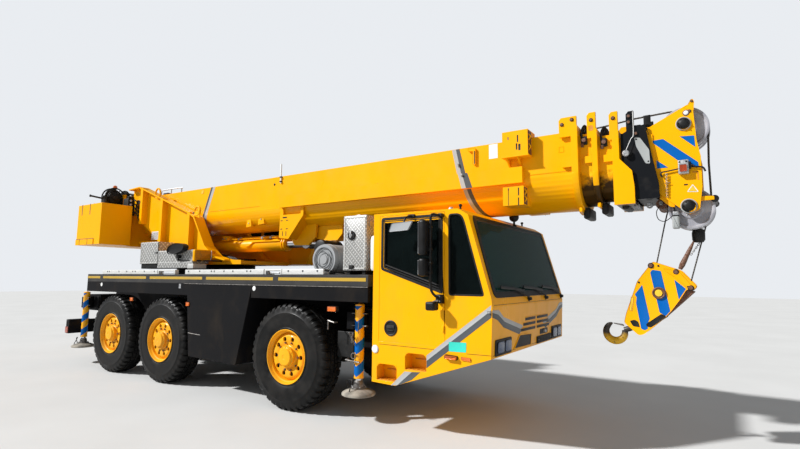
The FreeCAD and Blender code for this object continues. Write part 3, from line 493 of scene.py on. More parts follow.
@material
def rope_steel(shader):
    """Twisted wire rope, dark with grease."""
    x, y, z = shader.axes()
    lay = ((x + y + z) * 190.0).sin() * 0.5 + 0.5
    base = shader.mix(lay, (0.020, 0.018, 0.015), (0.085, 0.075, 0.060))
    return shader.set(Base_Color=base, Metallic=0.3, Roughness=0.5, Normal=shader.bump(lay, 0.003, 0.8))


@material
def rusty_pin(shader):
    """Bare pin ends: brown rust over worn metal."""
    rust = shader.ramp(shader.noise(60.0, 6.0), 0.38, 0.62)
    base = shader.mix(rust, (0.16, 0.085, 0.055), (0.12, 0.040, 0.015))
    return shader.set(Base_Color=base, Roughness=shader.ramp(rust, 0.0, 1.0, 0.4, 0.8), Normal=shader.bump(rust, 0.001, 0.6))


@material
def panel_grey(shader):
    return painted(shader, (0.36, 0.38, 0.38), 0.4, 0.2, 0.1)


@material
def section_four(shader):
    """Yellow inside the boom, black where the collar and its side shields stand outside."""
    x, y, z = shader.axes()
    outside = x > (3.962 + AXLE_1)
    base = shader.mix(outside, tuple(paints().yellow), (0.006, 0.007, 0.009))
    base = shader.mix(shader.ramp(shader.noise(7.0, 6.0), 0.55, 0.8) * 0.35, base, (0.05, 0.045, 0.04))
    return shader.set(Base_Color=base, Roughness=0.42, Specular_IOR_Level=0.1, Normal=shader.bump(shader.noise(140.0), 0.0005, 0.4))


def greased(shader, half_width, start):
    """Yellow paint, darkened to near black low on the bare body between two collars: old grease and painted shade."""
    x, y, z = shader.axes()
    painted(shader, tuple(paints().yellow))
    clean = shader.surface.inputs["Base Color"].links[0].from_socket
    # one dark mask low on the body: old grease and painted shade
    low = shader.ramp(z + shader.noise(14.0, 6.0) * 0.36, 3.06, 2.94)
    inside = (y * y < (half_width + 0.0008) ** 2) * (x > start)
    return shader.set(Base_Color=shader.mix(low * inside * 0.96, clean, (0.014, 0.010, 0.006)))


@material
def section_two(shader):
    return greased(shader, 0.340, 4.20)


@material
def section_three(shader):
    return greased(shader, 0.300, 4.45)


@material
def sheave_gloss(shader):
    """Grey cast nylon that shines where the rope has not touched it."""
    base = shader.mix(shader.ramp(shader.noise(9.0, 5.0), 0.4, 0.7), (0.28, 0.28, 0.31), (0.42, 0.42, 0.45))
    return shader.set(Base_Color=base, Roughness=shader.ramp(shader.noise(20.0), 0.3, 0.7, 0.10, 0.26), Coat_Weight=0.8, Coat_Roughness=0.06)


@material
def hook_paint(shader):
    """A forged hook: yellow on its lower half, blackened above and on the throat."""
    x, y, z = shader.axes()
    chipped = shader.noise(14.0, 6.0)
    upper = shader.ramp(z + chipped * 0.12, 1.150, 1.215)
    base = shader.mix(upper, (0.72, 0.40, 0.0), (0.030, 0.024, 0.018))
    base = shader.mix(shader.ramp(chipped, 0.60, 0.68), base, (0.05, 0.035, 0.02))
    return shader.set(Base_Color=base, Roughness=0.45, Normal=shader.bump(chipped, 0.003, 0.5))


@material
def studio_floor(shader):
    base = shader.mix(shader.ramp(shader.noise(0.6, 3.0), 0.3, 0.7), tuple(bpy.context.scene.crane_stage.floor), (0.58, 0.58, 0.57))
    return shader.set(Base_Color=base, Roughness=0.9, Specular_IOR_Level=0.1)


NODE_FINISH = {
    "yellow_paint": yellow_paint,
    "black_paint": black_paint,
    "deck_grey": deck_grey,
    "chequer_aluminium": chequer_aluminium,
    "cleaner_grey": cleaner_grey,
    "tyre_rubber": tyre_rubber,
    "rim_yellow": rim_yellow,
    "cab_glass": dark_glass,
    "cab_trim": cab_trim,
    "mirror_black": mirror_black,
    "jack_stripes": black_paint,
    "foot_steel": worn_steel,
    "axle_black": axle_black,
    "chrome_rod": chrome_rod,
    "sheave_grey": sheave_grey,
    "hook_forged": worn_steel,
}
EDGED = ("yellow_paint", "black_paint", "deck_grey", "chequer_aluminium", "jack_stripes")
SPECIAL_FINISH = {"boom_section_4": section_four, "machinery_boxes": chequer_wide, "boom_section_2": section_two, "boom_section_3": section_three}


def lathe(profile, centre, axis="Y", steps=64):
    """Every profile point (radius, distance along the axis) carried round the axis: a grid of angle by profile."""
    profile = np.asarray(profile, float)
    angle = np.linspace(0.0, TURN, steps, endpoint=False)[:, None]
    a = profile[None, :, 0] * np.cos(angle)
    b = profile[None, :, 0] * np.sin(angle)
    d = profile[None, :, 1] + 0.0 * angle
    grid = {"Y": np.stack([a, d, -b], -1), "Z": np.stack([a, b, d], -1), "X": np.stack([d, a, b], -1)}[axis]
    return grid + np.asarray(centre, float)


def leaned(grid, centre, axis, degrees):
    """The same points turned about an axis through a centre."""
    turn = np.array(Matrix.Rotation(math.radians(degrees), 3, axis))
    return (grid - np.asarray(centre, float)) @ turn.T + np.asarray(centre, float)


def rounded(outline, radius, steps=4):
    """Each corner P becomes a quadratic arc from P towards its neighbours, radius long on both sides."""
    points = np.asarray(outline, float)
    before = np.roll(points, 1, axis=0) - points
    after = np.roll(points, -1, axis=0) - points
    reach_before = np.minimum(radius, 0.49 * np.linalg.norm(before, axis=1, keepdims=True))
    reach_after = np.minimum(radius, 0.49 * np.linalg.norm(after, axis=1, keepdims=True))
    start = points + before / np.linalg.norm(before, axis=1, keepdims=True) * reach_before
    end = points + after / np.linalg.norm(after, axis=1, keepdims=True) * reach_after
    t = np.linspace(0.0, 1.0, steps + 1)[None, :, None]
    arc = (1 - t) ** 2 * start[:, None] + 2 * t * (1 - t) * points[:, None] + t ** 2 * end[:, None]
    return arc.reshape(-1, 2)


def inset(outline, amount):
    """The outline moved inwards along the mean of its two edge normals, by amount measured square to the edges."""
    edge = np.roll(outline, -1, axis=0) - outline
    area = 0.5 * np.sum(outline[:, 0] * np.roll(outline[:, 1], -1) - outline[:, 1] * np.roll(outline[:, 0], -1))
    normal = np.stack([-edge[:, 1], edge[:, 0]], -1) / np.linalg.norm(edge, axis=1, keepdims=True)
    if area < 0:
        normal = -normal
    both = normal + np.roll(normal, 1, axis=0)
    both = both / np.maximum(np.sum(both * both, axis=1, keepdims=True), 0.3) * 2.0
    return outline + both * amount


def in_plane(axis, flat, level):
    """Flat points (n, 2) set at a level along the axis square to their plane."""
    level = np.broadcast_to(level, flat.shape[:-1])
    order = {"X": (level, flat[..., 0], flat[..., 1]), "Y": (flat[..., 0], level, flat[..., 1]), "Z": (flat[..., 0], flat[..., 1], level)}
    return np.stack(order[axis], -1)


def smooth_path(points, steps=8):
    """A path through all the points: cubic Hermite pieces whose slopes join each point's neighbours."""
    points = np.asarray(points, float)
    slope = np.gradient(points, axis=0)
    t = np.linspace(0.0, 1.0, steps, endpoint=False)[None, :, None]
    a, b, ma, mb = points[:-1, None], points[1:, None], slope[:-1, None], slope[1:, None]
    run = (2 * t**3 - 3 * t**2 + 1) * a + (t**3 - 2 * t**2 + t) * ma + (3 * t**2 - 2 * t**3) * b + (t**3 - t**2) * mb
    return np.concatenate([run.reshape(-1, 3), points[-1:]])


def tube_grid(path, radius, sides=10, squash=(1.0, 1.0)):
    """A ring of given radius set square to the path at each of its points."""
    path = np.asarray(path, float)
    along = np.gradient(path, axis=0)
    along = along / np.maximum(np.linalg.norm(along, axis=1, keepdims=True), 1e-9)
    helper = np.where(np.abs(along[:, 1:2]) < 0.8, np.array([[0.0, 1.0, 0.0]]), np.array([[1.0, 0.0, 0.0]]))
    side = np.cross(along, helper)
    side = side / np.linalg.norm(side, axis=1, keepdims=True)
    up = np.cross(side, along)
    angle = np.linspace(0.0, TURN, sides, endpoint=False)[None, :, None]
    radius = np.broadcast_to(radius, (len(path),))[:, None, None]
    return path[:, None] + radius * (squash[0] * np.cos(angle) * side[:, None] + squash[1] * np.sin(angle) * up[:, None])


class Piece:
    """Collects grids of points, with X from the first axle, into one mesh that rides on a body."""

    def __init__(self, name, body, slot=None):
        self.name, self.body, self.slot = name, body, slot
        self.corners, self.faces, self.marks, self.finishes = [], [], [], []
        self.count = 0

    def add(self, corners, faces, finish):
        if finish not in self.finishes:
            self.finishes.append(finish)
        corners = np.asarray(corners, float).reshape(-1, 3)
        self.corners.append(corners)
        self.faces += [[index + self.count for index in face] for face in faces]
        self.marks += [self.finishes.index(finish)] * len(faces)
        self.count += len(corners)
        return self

    def sheet(self, grid, finish, wrap_rows=False, wrap_columns=False, cap_rows=False, cap_columns=False):
        """Quads between neighbouring points of a grid; caps close its open ends with one face each."""
        rows, columns = grid.shape[:2]
        i = np.arange(rows if wrap_rows else rows - 1)[:, None]
        j = np.arange(columns if wrap_columns else columns - 1)[None, :]
        i2, j2 = (i + 1) % rows, (j + 1) % columns
        faces = np.stack([i * columns + j, i2 * columns + j, i2 * columns + j2, i * columns + j2], -1).reshape(-1, 4).tolist()
        if cap_rows:
            faces.append(list(range(columns))[::-1])
            faces.append([(rows - 1) * columns + k for k in range(columns)])
        if cap_columns:
            faces.append([k * columns for k in range(rows)])
            faces.append([k * columns + columns - 1 for k in range(rows)][::-1])
        return self.add(grid, faces, finish)

    def lathe(self, profile, centre, finish, axis="Y", steps=48, lean=None):
        """A closed turned form: the profile's first and last points lie on the axis or meet."""
        grid = lathe(profile, centre, axis, steps)
        if lean:
            grid = leaned(grid, *lean)
        return self.sheet(grid, finish, wrap_rows=True)

    def plate(self, outline, axis, span, finish, edge=0.004, turn=None, bend=None):
        """An outline carried along an axis, its two rims rounded over by edge, then laid on a surface by bend."""
        outline = np.asarray(outline, float)
        low, high = span
        t = np.array([0.0, 0.3, 0.7, 1.0]) * math.pi / 2
        inward = edge * (1 - np.sin(t))
        step = edge * (1 - np.cos(t))
        rings = [in_plane(axis, inset(outline, i), low + s) for i, s in zip(inward, step)]
        rings += [in_plane(axis, inset(outline, i), high - s) for i, s in zip(inward[::-1], step[::-1])]
        grid = np.stack(rings)
        if bend:
            grid = bend(grid)
        if turn:
            grid = leaned(grid, *turn)
        return self.sheet(grid, finish, wrap_columns=True, cap_rows=True)

    def frame(self, outline, width, axis, span, finish, bend=None):
        """A closed ring between an outline and the same outline drawn in by width, with softened edges."""
        outline = np.asarray(outline, float)
        low, high = span
        soft = 0.25 * min(width, abs(high - low))
        step = soft if high > low else -soft
        rows = [(0, low), (0, high - step), (soft, high), (width - soft, high), (width, high - step), (width, low)]
        grid = np.stack([in_plane(axis, inset(outline, inward), level) for inward, level in rows])
        if bend:
            grid = bend(grid)
        return self.sheet(grid, finish, wrap_rows=True, wrap_columns=True)

    def box(self, low, high, finish, edge=0.004, corner=0.0, axis="Z", turn=None):
        """A block between two corners with rounded rims, and rounded corners seen along axis."""
        keep = {"X": (1, 2, 0), "Y": (0, 2, 1), "Z": (0, 1, 2)}[axis]
        a, b, c = keep
        outline = np.array([(low[a], low[b]), (high[a], low[b]), (high[a], high[b]), (low[a], high[b])], float)
        outline = rounded(outline, max(corner, edge), 4)
        return self.plate(outline, axis, (low[c], high[c]), finish, edge, turn)

    def tube(self, path, radius, finish, sides=10, squash=(1.0, 1.0)):
        return self.sheet(tube_grid(path, radius, sides, squash), finish, wrap_columns=True, cap_rows=True)

    def pair(self, outline, face, thick, finish, edge=0.0005, sink=0.003):
        """The same plate on the right and on the left face, face metres from the middle."""
        for _, side in SIDES:
            self.plate(outline, "Y", (side * (face - sink), side * (face + thick)), finish, edge)
        return self

    def bars(self, spans, face, finish, thick=0.001, edge=0.0004):
        """Flat marks on both faces, each given by its two corners."""
        for x0, z0, x1, z1 in spans:
            self.pair(rounded([(x0, z0), (x1, z0), (x1, z1), (x0, z1)], 0.3 * min(x1 - x0, z1 - z0)), face, thick, finish, edge)
        return self

    def skin(self, quad, face, thick, finish, bend=None, steps=14):
        """Both faces get a patch between four corners: P = (1-u)(1-v)A + u(1-v)B + uvC + (1-u)vD."""
        a, b, c, d = (np.asarray(corner, float) for corner in quad)
        u = np.linspace(0, 1, 3)[:, None, None]
        v = np.linspace(0, 1, steps)[None, :, None]
        flat = (1 - u) * (1 - v) * a + u * (1 - v) * b + u * v * c + (1 - u) * v * d
        for _, side in SIDES:
            grid = np.concatenate([in_plane("Y", flat, side * (face + thick)), in_plane("Y", flat[::-1], side * (face - 0.003))])
            self.sheet(bend(grid) if bend else grid, finish, wrap_rows=True, cap_columns=True)
        return self

    def studs(self, spots, axis, radius, height, finish, sides=6):
        """Small bolt heads at many spots: one chamfered prism copied to every spot."""
        head = lathe([(0, 0), (radius, 0), (radius, height * 0.7), (radius * 0.75, height), (0, height)], (0, 0, 0), axis, sides)
        for spot in np.asarray(spots, float).reshape(-1, 3):
            self.sheet(head + spot, finish, wrap_rows=True)
        return self

    def done(self, sharp=35.0):
        mesh = bpy.data.meshes.new(self.name)
        corners = np.concatenate(self.corners) + (AXLE_1, 0.0, 0.0)
        mesh.from_pydata(corners.tolist(), [], self.faces)
        for finish in self.finishes:
            mesh.materials.append(finish())
        mesh.polygons.foreach_set("material_index", np.array(self.marks, np.int32))
        work = bmesh.new()
        work.from_mesh(mesh)
        bmesh.ops.remove_doubles(work, verts=work.verts, dist=1e-5)
        bmesh.ops.dissolve_degenerate(work, edges=work.edges, dist=1e-6)
        bmesh.ops.recalc_face_normals(work, faces=work.faces)
        work.to_mesh(mesh)
        work.free()
        mesh.polygons.foreach_set("use_smooth", np.ones(len(mesh.polygons), bool))
        mesh.set_sharp_from_angle(angle=math.radians(sharp))
        obj = bpy.data.objects.new(self.name, mesh)
        bpy.context.scene.collection.objects.link(obj)
        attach(obj, self.body)
        return obj


def pins(piece, spots, face, radius, height, head=rusty_pin, washer=gasket_black):
    """Round pin ends in washers on both faces, face metres from the middle."""
    for x, z in spots:
        for _, side in SIDES:
            for wide, tall, finish in ((radius * 1.45, 0.4 * height, washer), (radius, height, head)):
                profile = [(0, -0.003), (wide, -0.003), (wide, tall * 0.8), (wide * 0.85, tall), (0, tall)]
                piece.lathe([(r, side * d) for r, d in profile], (x, side * face, z), finish, "Y", 18)


def on_keel(grid):
    """Below the boom's flat sides a height becomes a distance round its half-round underside."""
    grid = grid.copy()
    level = np.abs(grid[..., 1])
    turn = np.maximum(0.0, KEEL_HIGH - grid[..., 2]) / level
    below = turn > 0
    grid[..., 1] = np.where(below, grid[..., 1] * np.cos(turn), grid[..., 1])
    grid[..., 2] = np.where(below, KEEL_HIGH - level * np.sin(turn), grid[..., 2])
    return grid


def rows(*points):
    return [tuple(map(float, point)) for point in points]


def mirrored(side, low, high):
    """A span given as distances from the middle, turned to this side."""
    return (side * high, side * low) if side < 0 else (low, high)


class CraneOperator:
    bl_options = {"REGISTER", "UNDO"}


class CRANE_OT_paint_frame(CraneOperator, bpy.types.Operator):
    """Gives every CAD node its own finish and breaks its plate edges"""
    bl_idname = "crane.paint_frame"
    bl_label = "Paint the frame"

    def execute(self, context):
        slots = {entry["node"]: entry["material_slot"] for entry in frame["record"]["subparts"]}
        for node, obj in frame["nodes"].items():
            maker = SPECIAL_FINISH.get(node) or NODE_FINISH[slots[node]]
            for entry in obj.material_slots:
                entry.material = maker()
            if not obj.material_slots:
                obj.data.materials.append(maker())
            if slots[node] in EDGED:
                self.soften(obj)
        return {"FINISHED"}

    def soften(self, obj):
        """Joins the CAD triangles into flat faces and rounds the plate edges between them."""
        for kind, settings in (
            ("WELD", {"merge_threshold": 0.00005}),
            ("DECIMATE", {"decimate_type": "DISSOLVE", "angle_limit": math.radians(0.5)}),
            ("BEVEL", {"width": 0.006, "segments": 2, "limit_method": "ANGLE", "angle_limit": math.radians(40), "harden_normals": True}),
        ):
            step = obj.modifiers.new(kind.lower(), kind)
            for key, value in settings.items():
                setattr(step, key, value)


class CRANE_OT_tyres(CraneOperator, bpy.types.Operator):
    """Six tyres with staggered shoulder lugs, ribs, grooves and ringed sidewalls"""
    bl_idname = "crane.tyres"
    bl_label = "Tyres"

    def execute(self, context):
        settings = context.scene.crane_tyres
        for number, axle in WHEELS:
            for side_name, side in SIDES:
                self.tyre(f"{number}{side_name}", axle, side, settings.lugs, settings.depth)
        return {"FINISHED"}

    def tyre(self, tag, axle, side, lugs, depth):
        """Radius = rubber profile less the tread depth where a groove runs.

        Rows are angles, placed at the edges of the cross grooves; columns follow the
        section from bead to bead.  Left and right shoulders are half a pitch apart.
        """
        phase = np.array([0.0, 0.12, 0.15, 0.30, 0.44, 0.47, 0.60, 0.63, 0.79, 0.94, 0.97])
        turns = (np.arange(lugs)[:, None] + phase[None, :]).ravel()
        section = np.array([
            (0.340, 0.028, 0, 0), (0.352, 0.014, 0, 0), (0.368, 0.010, 0, 0), (0.374, 0.014, 0, 0), (0.384, 0.008, 0, 0),
            (0.430, 0.003, 0, 0), (0.500, 0.001, 0, 0), (0.540, 0.002, 0, 0), (0.548, 0.000, 0, 0), (0.566, 0.001, 0, 0),
            (0.574, 0.006, 0, 0), (0.606, 0.011, 0, 0), (0.614, 0.013, 0.2, 0), (0.634, 0.015, 0.6, 0), (0.652, 0.020, 0.9, 0),
            (0.667, 0.030, 1, 0), (0.678, 0.046, 1, 0), (0.683, 0.070, 1, 0), (0.685, 0.100, 1, 0), (0.685, 0.112, 1, 0),
            (0.684, 0.116, 0, 1), (0.684, 0.128, 0, 1), (0.685, 0.132, 0, 0), (0.685, 0.150, 0, 0.7), (0.685, 0.170, 0, 0.7),
            (0.685, 0.178, 0, 0), (0.684, 0.182, 0, 1), (0.684, 0.193, 0, 1)])
        section = np.concatenate([section, np.stack([section[::-1, 0], 0.375 - section[::-1, 1], section[::-1, 2], section[::-1, 3]], -1)])
        half = len(section) // 2
        t_left = turns % 1.0
        t_right = (turns + 0.5) % 1.0
        groove = lambda t: ((t > 0.615) & (t < 0.955)).astype(float)
        cross = np.where(np.arange(len(section))[None, :] < half, groove(t_left)[:, None], groove(t_right)[:, None])
        rib = section[None, :, 3]
        drop = depth * np.maximum(section[None, :, 2] * cross, np.where(rib == 1, 1.0, rib * (1 - cross) * 0.9 * (np.roll(cross, 1, 0) + np.roll(cross, -1, 0) > 0)))
        radius = section[None, :, 0] - drop
        angle = turns[:, None] / lugs * TURN
        y = side * (0.900 + section[None, :, 1]) + 0.0 * angle
        grid = np.stack([axle + radius * np.cos(angle), y, 0.685 + radius * np.sin(angle)], -1)
        piece = Piece(f"tyre_tread_{tag}", f"wheel_{tag}", "tyre_rubber")
        piece.sheet(grid, tyre_rubber, wrap_rows=True, wrap_columns=True)
        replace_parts(piece.done(28.0), f"tyre_{tag}")


class CRANE_OT_rims(CraneOperator, bpy.types.Operator):
    """Six deep rims with round hand holes, wheel nuts and a planetary hub"""
    bl_idname = "crane.rims"
    bl_label = "Rims"

    def execute(self, context):
        for number, axle in WHEELS:
            for side_name, side in SIDES:
                self.rim(f"{number}{side_name}", (axle, 0.0, 0.685), side)
        return {"FINISHED"}

    def rim(self, tag, centre, side):
        centre = np.array(centre)
        piece = Piece(f"rim_dressed_{tag}", f"wheel_{tag}", "rim_yellow")

        def at(points):
            return [(radius, side * distance) for radius, distance in points]

        piece.lathe(at([
            (0.347, 0.905), (0.347, 0.915), (0.336, 0.924), (0.336, 1.248), (0.343, 1.254), (0.349, 1.262), (0.351, 1.268),
            (0.348, 1.2705), (0.341, 1.270), (0.334, 1.262), (0.330, 1.250), (0.326, 1.240), (0.318, 1.232), (0.311, 1.226),
            (0.309, 1.215), (0.309, 1.120), (0.306, 1.104), (0.298, 1.092), (0.300, 1.086), (0.300, 1.070), (0.300, 1.060),
            (0.300, 0.905), (0.347, 0.905)]), centre, rim_yellow, steps=96)
        self.disc(piece, centre, side)
        piece.lathe(at([(0, 1.180), (0.264, 1.180), (0.264, 1.194), (0, 1.194)]), centre, axle_black, steps=24)
        piece.lathe(at([
            (0.0, 1.000), (0.150, 1.000), (0.150, 1.205), (0.146, 1.211), (0.134, 1.215), (0.128, 1.220), (0.124, 1.246), (0.134, 1.250),
            (0.138, 1.254), (0.138, 1.264), (0.134, 1.268), (0.120, 1.270), (0.114, 1.274), (0.110, 1.288), (0.104, 1.294), (0.030, 1.297),
            (0.026, 1.294), (0.020, 1.294), (0.0, 1.294)]), centre, rim_yellow, steps=56)
        angle = np.arange(10) / 10 * TURN
        spots = centre + np.stack([0.180 * np.cos(angle), 0 * angle + side * 1.208, 0.180 * np.sin(angle)], -1)
        piece.studs(spots, "Y", 0.015, side * 0.024, rusty_pin)
        angle = np.arange(12) / 12 * TURN
        spots = centre + np.stack([0.124 * np.cos(angle), 0 * angle + side * 1.266, 0.124 * np.sin(angle)], -1)
        piece.studs(spots, "Y", 0.008, side * 0.010, rim_yellow)
        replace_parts(piece.done(), f"rim_{tag}")

    def disc(self, piece, centre, side):
        """Ten cells round the hub, each a sheet from its round hole out to the cell's edge.

        A point is (1 - s) * hole rim + s * cell border, and the dish gives its depth.
        """
        t = np.linspace(0, TURN, 24, endpoint=False)
        around = np.stack([np.cos(t), np.sin(t)], -1)
        square = around / np.max(np.abs(around), axis=1, keepdims=True)
        s = np.array([-0.28, 0.0, 0.04, 0.4, 1.0])[:, None]
        hole = 0.030
        low, high, middle = 0.122, 0.312, 0.228
        for index in range(10):
            bearing = index / 10 * TURN
            edge_angle = bearing + square[:, 0] * math.pi / 10
            edge_radius = np.where(square[:, 1] > 0, middle + square[:, 1] * (high - middle), middle + square[:, 1] * (middle - low))
            border = np.stack([edge_radius * np.cos(edge_angle), edge_radius * np.sin(edge_angle)], -1)
            mid = middle * np.array([math.cos(bearing), math.sin(bearing)])
            tangent = np.array([-math.sin(bearing), math.cos(bearing)])
            radial = np.array([math.cos(bearing), math.sin(bearing)])
            rim = mid + hole * (around[:, :1] * tangent + around[:, 1:] * radial)
            share = np.maximum(s, 0.0)[..., None]
            flat = (1 - share) * rim[None] + share * border[None]
            radius = np.linalg.norm(flat, axis=-1)
            dish = 1.222 - 0.050 * np.clip((radius - 0.262) / 0.05, 0, 1) ** 1.5 - 0.022 * np.clip((0.20 - radius) / 0.05, 0, 1)
            depth = dish - 0.022 * (s < 0) - 0.004 * (s == 0.0)
            grid = np.stack([flat[..., 0], side * depth, flat[..., 1]], -1) + centre
            piece.sheet(grid, rim_yellow, wrap_columns=True)


NOSE_HEIGHTS = (0.920, 1.430, 1.520, 2.380, 2.455)
NOSE_REACH = (2.860, 2.880, 2.870, 2.620, 2.500)
CAB_SIDE_FACE = 1.265
KEEL_HIGH = 2.890


def on_nose(grid):
    """Moves points forward on to the cab's front, whose reach depends on the height."""
    grid = grid.copy()
    grid[..., 0] += np.interp(grid[..., 2], NOSE_HEIGHTS, NOSE_REACH)
    return grid


class CRANE_OT_cab_front(CraneOperator, bpy.types.Operator):
    """Windscreen rubber, wipers, air slots, headlamps, stripes and plate on the cab front"""
    bl_idname = "crane.cab_front"
    bl_label = "Cab front"

    def execute(self, context):
        screen = rounded([(-1.195, 1.518), (1.195, 1.518), (1.175, 2.392), (-1.175, 2.392)], 0.09, 8)
        rubber = Piece("screen_rubber", "carrier", "cab_trim")
        rubber.frame(screen, 0.062, "X", (-0.004, 0.010), gasket_black, on_nose)
        rubber.done()
        self.wipers()
        self.slots()
        self.lamps()
        self.stripes()
        return {"FINISHED"}

    def wipers(self):
        wipers = Piece("wipers", "carrier", "cab_trim")
        for pivot, middle in ((-0.16, -0.66), (0.49, 0.04), (1.19, 0.74)):
            hub = np.array([2.872, pivot, 1.488])
            wipers.lathe([(0, -0.004), (0.032, -0.004), (0.032, 0.012), (0.022, 0.016), (0.018, 0.040), (0, 0.044)], hub, gasket_black, "X", 20)
            wipers.box(hub + (0.0, -0.045, -0.010), hub + (0.012, 0.045, 0.010), gasket_black, 0.003)
            elbow = np.array([2.890, (pivot + middle) / 2, 1.558])
            tip = np.array([2.872, middle, 1.604])
            wipers.tube(smooth_path([hub + (0.036, 0, 0), elbow, tip], 6), 0.0085, gasket_black, 8)
            ends = [tip + (0.0, -0.36, 0.022), tip + (0.002, 0.0, 0.004), tip + (0.0, 0.36, -0.022)]
            wipers.tube(smooth_path(ends, 8), 0.011, gasket_black, 8, (1.5, 0.6))
        wipers.done()

    def slots(self):
        slots = Piece("front_slots", "carrier", "cab_trim")
        for low, high, level in ((-0.290, 0.572, 1.256), (-0.355, 0.600, 1.198), (-0.430, 0.640, 1.140)):
            for left, right in ((low, 0.080), (0.128, high)):
                outline = rounded([(left, level - 0.018), (right, level - 0.018), (right, level + 0.018), (left, level + 0.018)], 0.014)
                # painted shade: each air slot is a flat near-black plate
                slots.plate(outline, "X", (-0.006, 0.0018), gasket_black, 0.001, bend=on_nose)
                lip = rounded([(left, level + 0.016), (right, level + 0.016), (right, level + 0.024), (left, level + 0.024)], 0.003)
                slots.plate(lip, "X", (-0.006, 0.007), yellow_paint, 0.003, bend=on_nose)
        grating = rounded([(-0.659, 0.950), (-0.085, 0.940), (-0.060, 1.082), (-0.470, 1.100)], 0.02)
        # painted shade: the grating's gaps are near black behind the wires
        slots.plate(grating, "X", (-0.006, 0.003), mesh_black, 0.002, bend=on_nose)
        slots.frame(grating, 0.012, "X", (-0.006, 0.008), yellow_paint, on_nose)
        plate = rounded([(0.130, 0.935), (0.700, 0.935), (0.700, 1.020), (0.130, 1.020)], 0.012)
        slots.plate(plate, "X", (-0.004, 0.012), gasket_black, 0.003, bend=on_nose)
        slots.plate(inset(plate, 0.008), "X", (0.010, 0.015), cab_trim, 0.0015, bend=on_nose)
        for y in (0.175, 0.655):
            slots.studs([on_nose(np.array([0.015, y, 0.978]))], "X", 0.006, 0.004, zinc)
        recess = rounded([(0.255, 1.035), (0.575, 1.035), (0.575, 1.100), (0.255, 1.100)], 0.015)
        # painted shade: the recess is a flat near-black plate
        slots.plate(recess, "X", (-0.004, 0.0018), gasket_black, 0.001, bend=on_nose)
        slots.lathe([(0, -0.01), (0.024, -0.01), (0.024, 0.022), (0.016, 0.030), (0, 0.030)], on_nose(np.array([0.0, 0.415, 1.068])), zinc, "X", 20)
        for level in (1.448, 0.948):
            seam = [(-1.22, level - 0.002), (1.22, level - 0.002), (1.22, level + 0.002), (-1.22, level + 0.002)]
            slots.plate(seam, "X", (-0.006, 0.0012), gasket_black, 0.0005, bend=on_nose)
        slots.done()

    def lamps(self):
        for side_name, side in SIDES:
            lamps = Piece(f"headlamps_{side_name}", "carrier", "cab_trim")
            low, high = mirrored(side, 0.735, 1.180)
            case = rounded([(low, 0.935), (high, 0.935), (high, 1.100), (low, 1.100)], 0.022)
            lamps.plate(case, "X", (-0.012, 0.012), gasket_black, 0.006, bend=on_nose)
            for near in (0.760, 0.965):
                low, high = mirrored(side, near, near + 0.180)
                lens_edge = rounded([(low, 0.958), (high, 0.958), (high, 1.080), (low, 1.080)], 0.040, 6)
                lamps.plate(lens_edge, "X", (0.006, 0.024), lamp_clear, 0.011, bend=on_nose)
                lamps.frame(lens_edge, 0.008, "X", (0.006, 0.020), gasket_black, on_nose)
            lamps.done()

    def stripes(self):
        """Two-tone bands that fall from the corners towards the slots, mirrored left and right."""
        for side_name, side in SIDES:
            bands = Piece(f"front_stripes_{side_name}", "carrier", "yellow_paint")
            pale = [(1.262, 1.400), (1.100, 1.398), (0.960, 1.318), (0.376, 1.192), (0.395, 1.146), (0.930, 1.268), (1.110, 1.352), (1.262, 1.376)]
            dark = [(1.262, 1.376), (1.110, 1.352), (0.930, 1.268), (0.395, 1.146), (0.480, 1.100), (0.960, 1.212), (1.120, 1.296), (1.262, 1.330)]
            for outline, finish in ((pale, stripe_pale), (dark, stripe_dark)):
                outline = [(side * y, z) for y, z in outline]
                bands.plate(outline, "X", (-0.004, 0.0015), finish, 0.0005, bend=on_nose)
            bands.done()


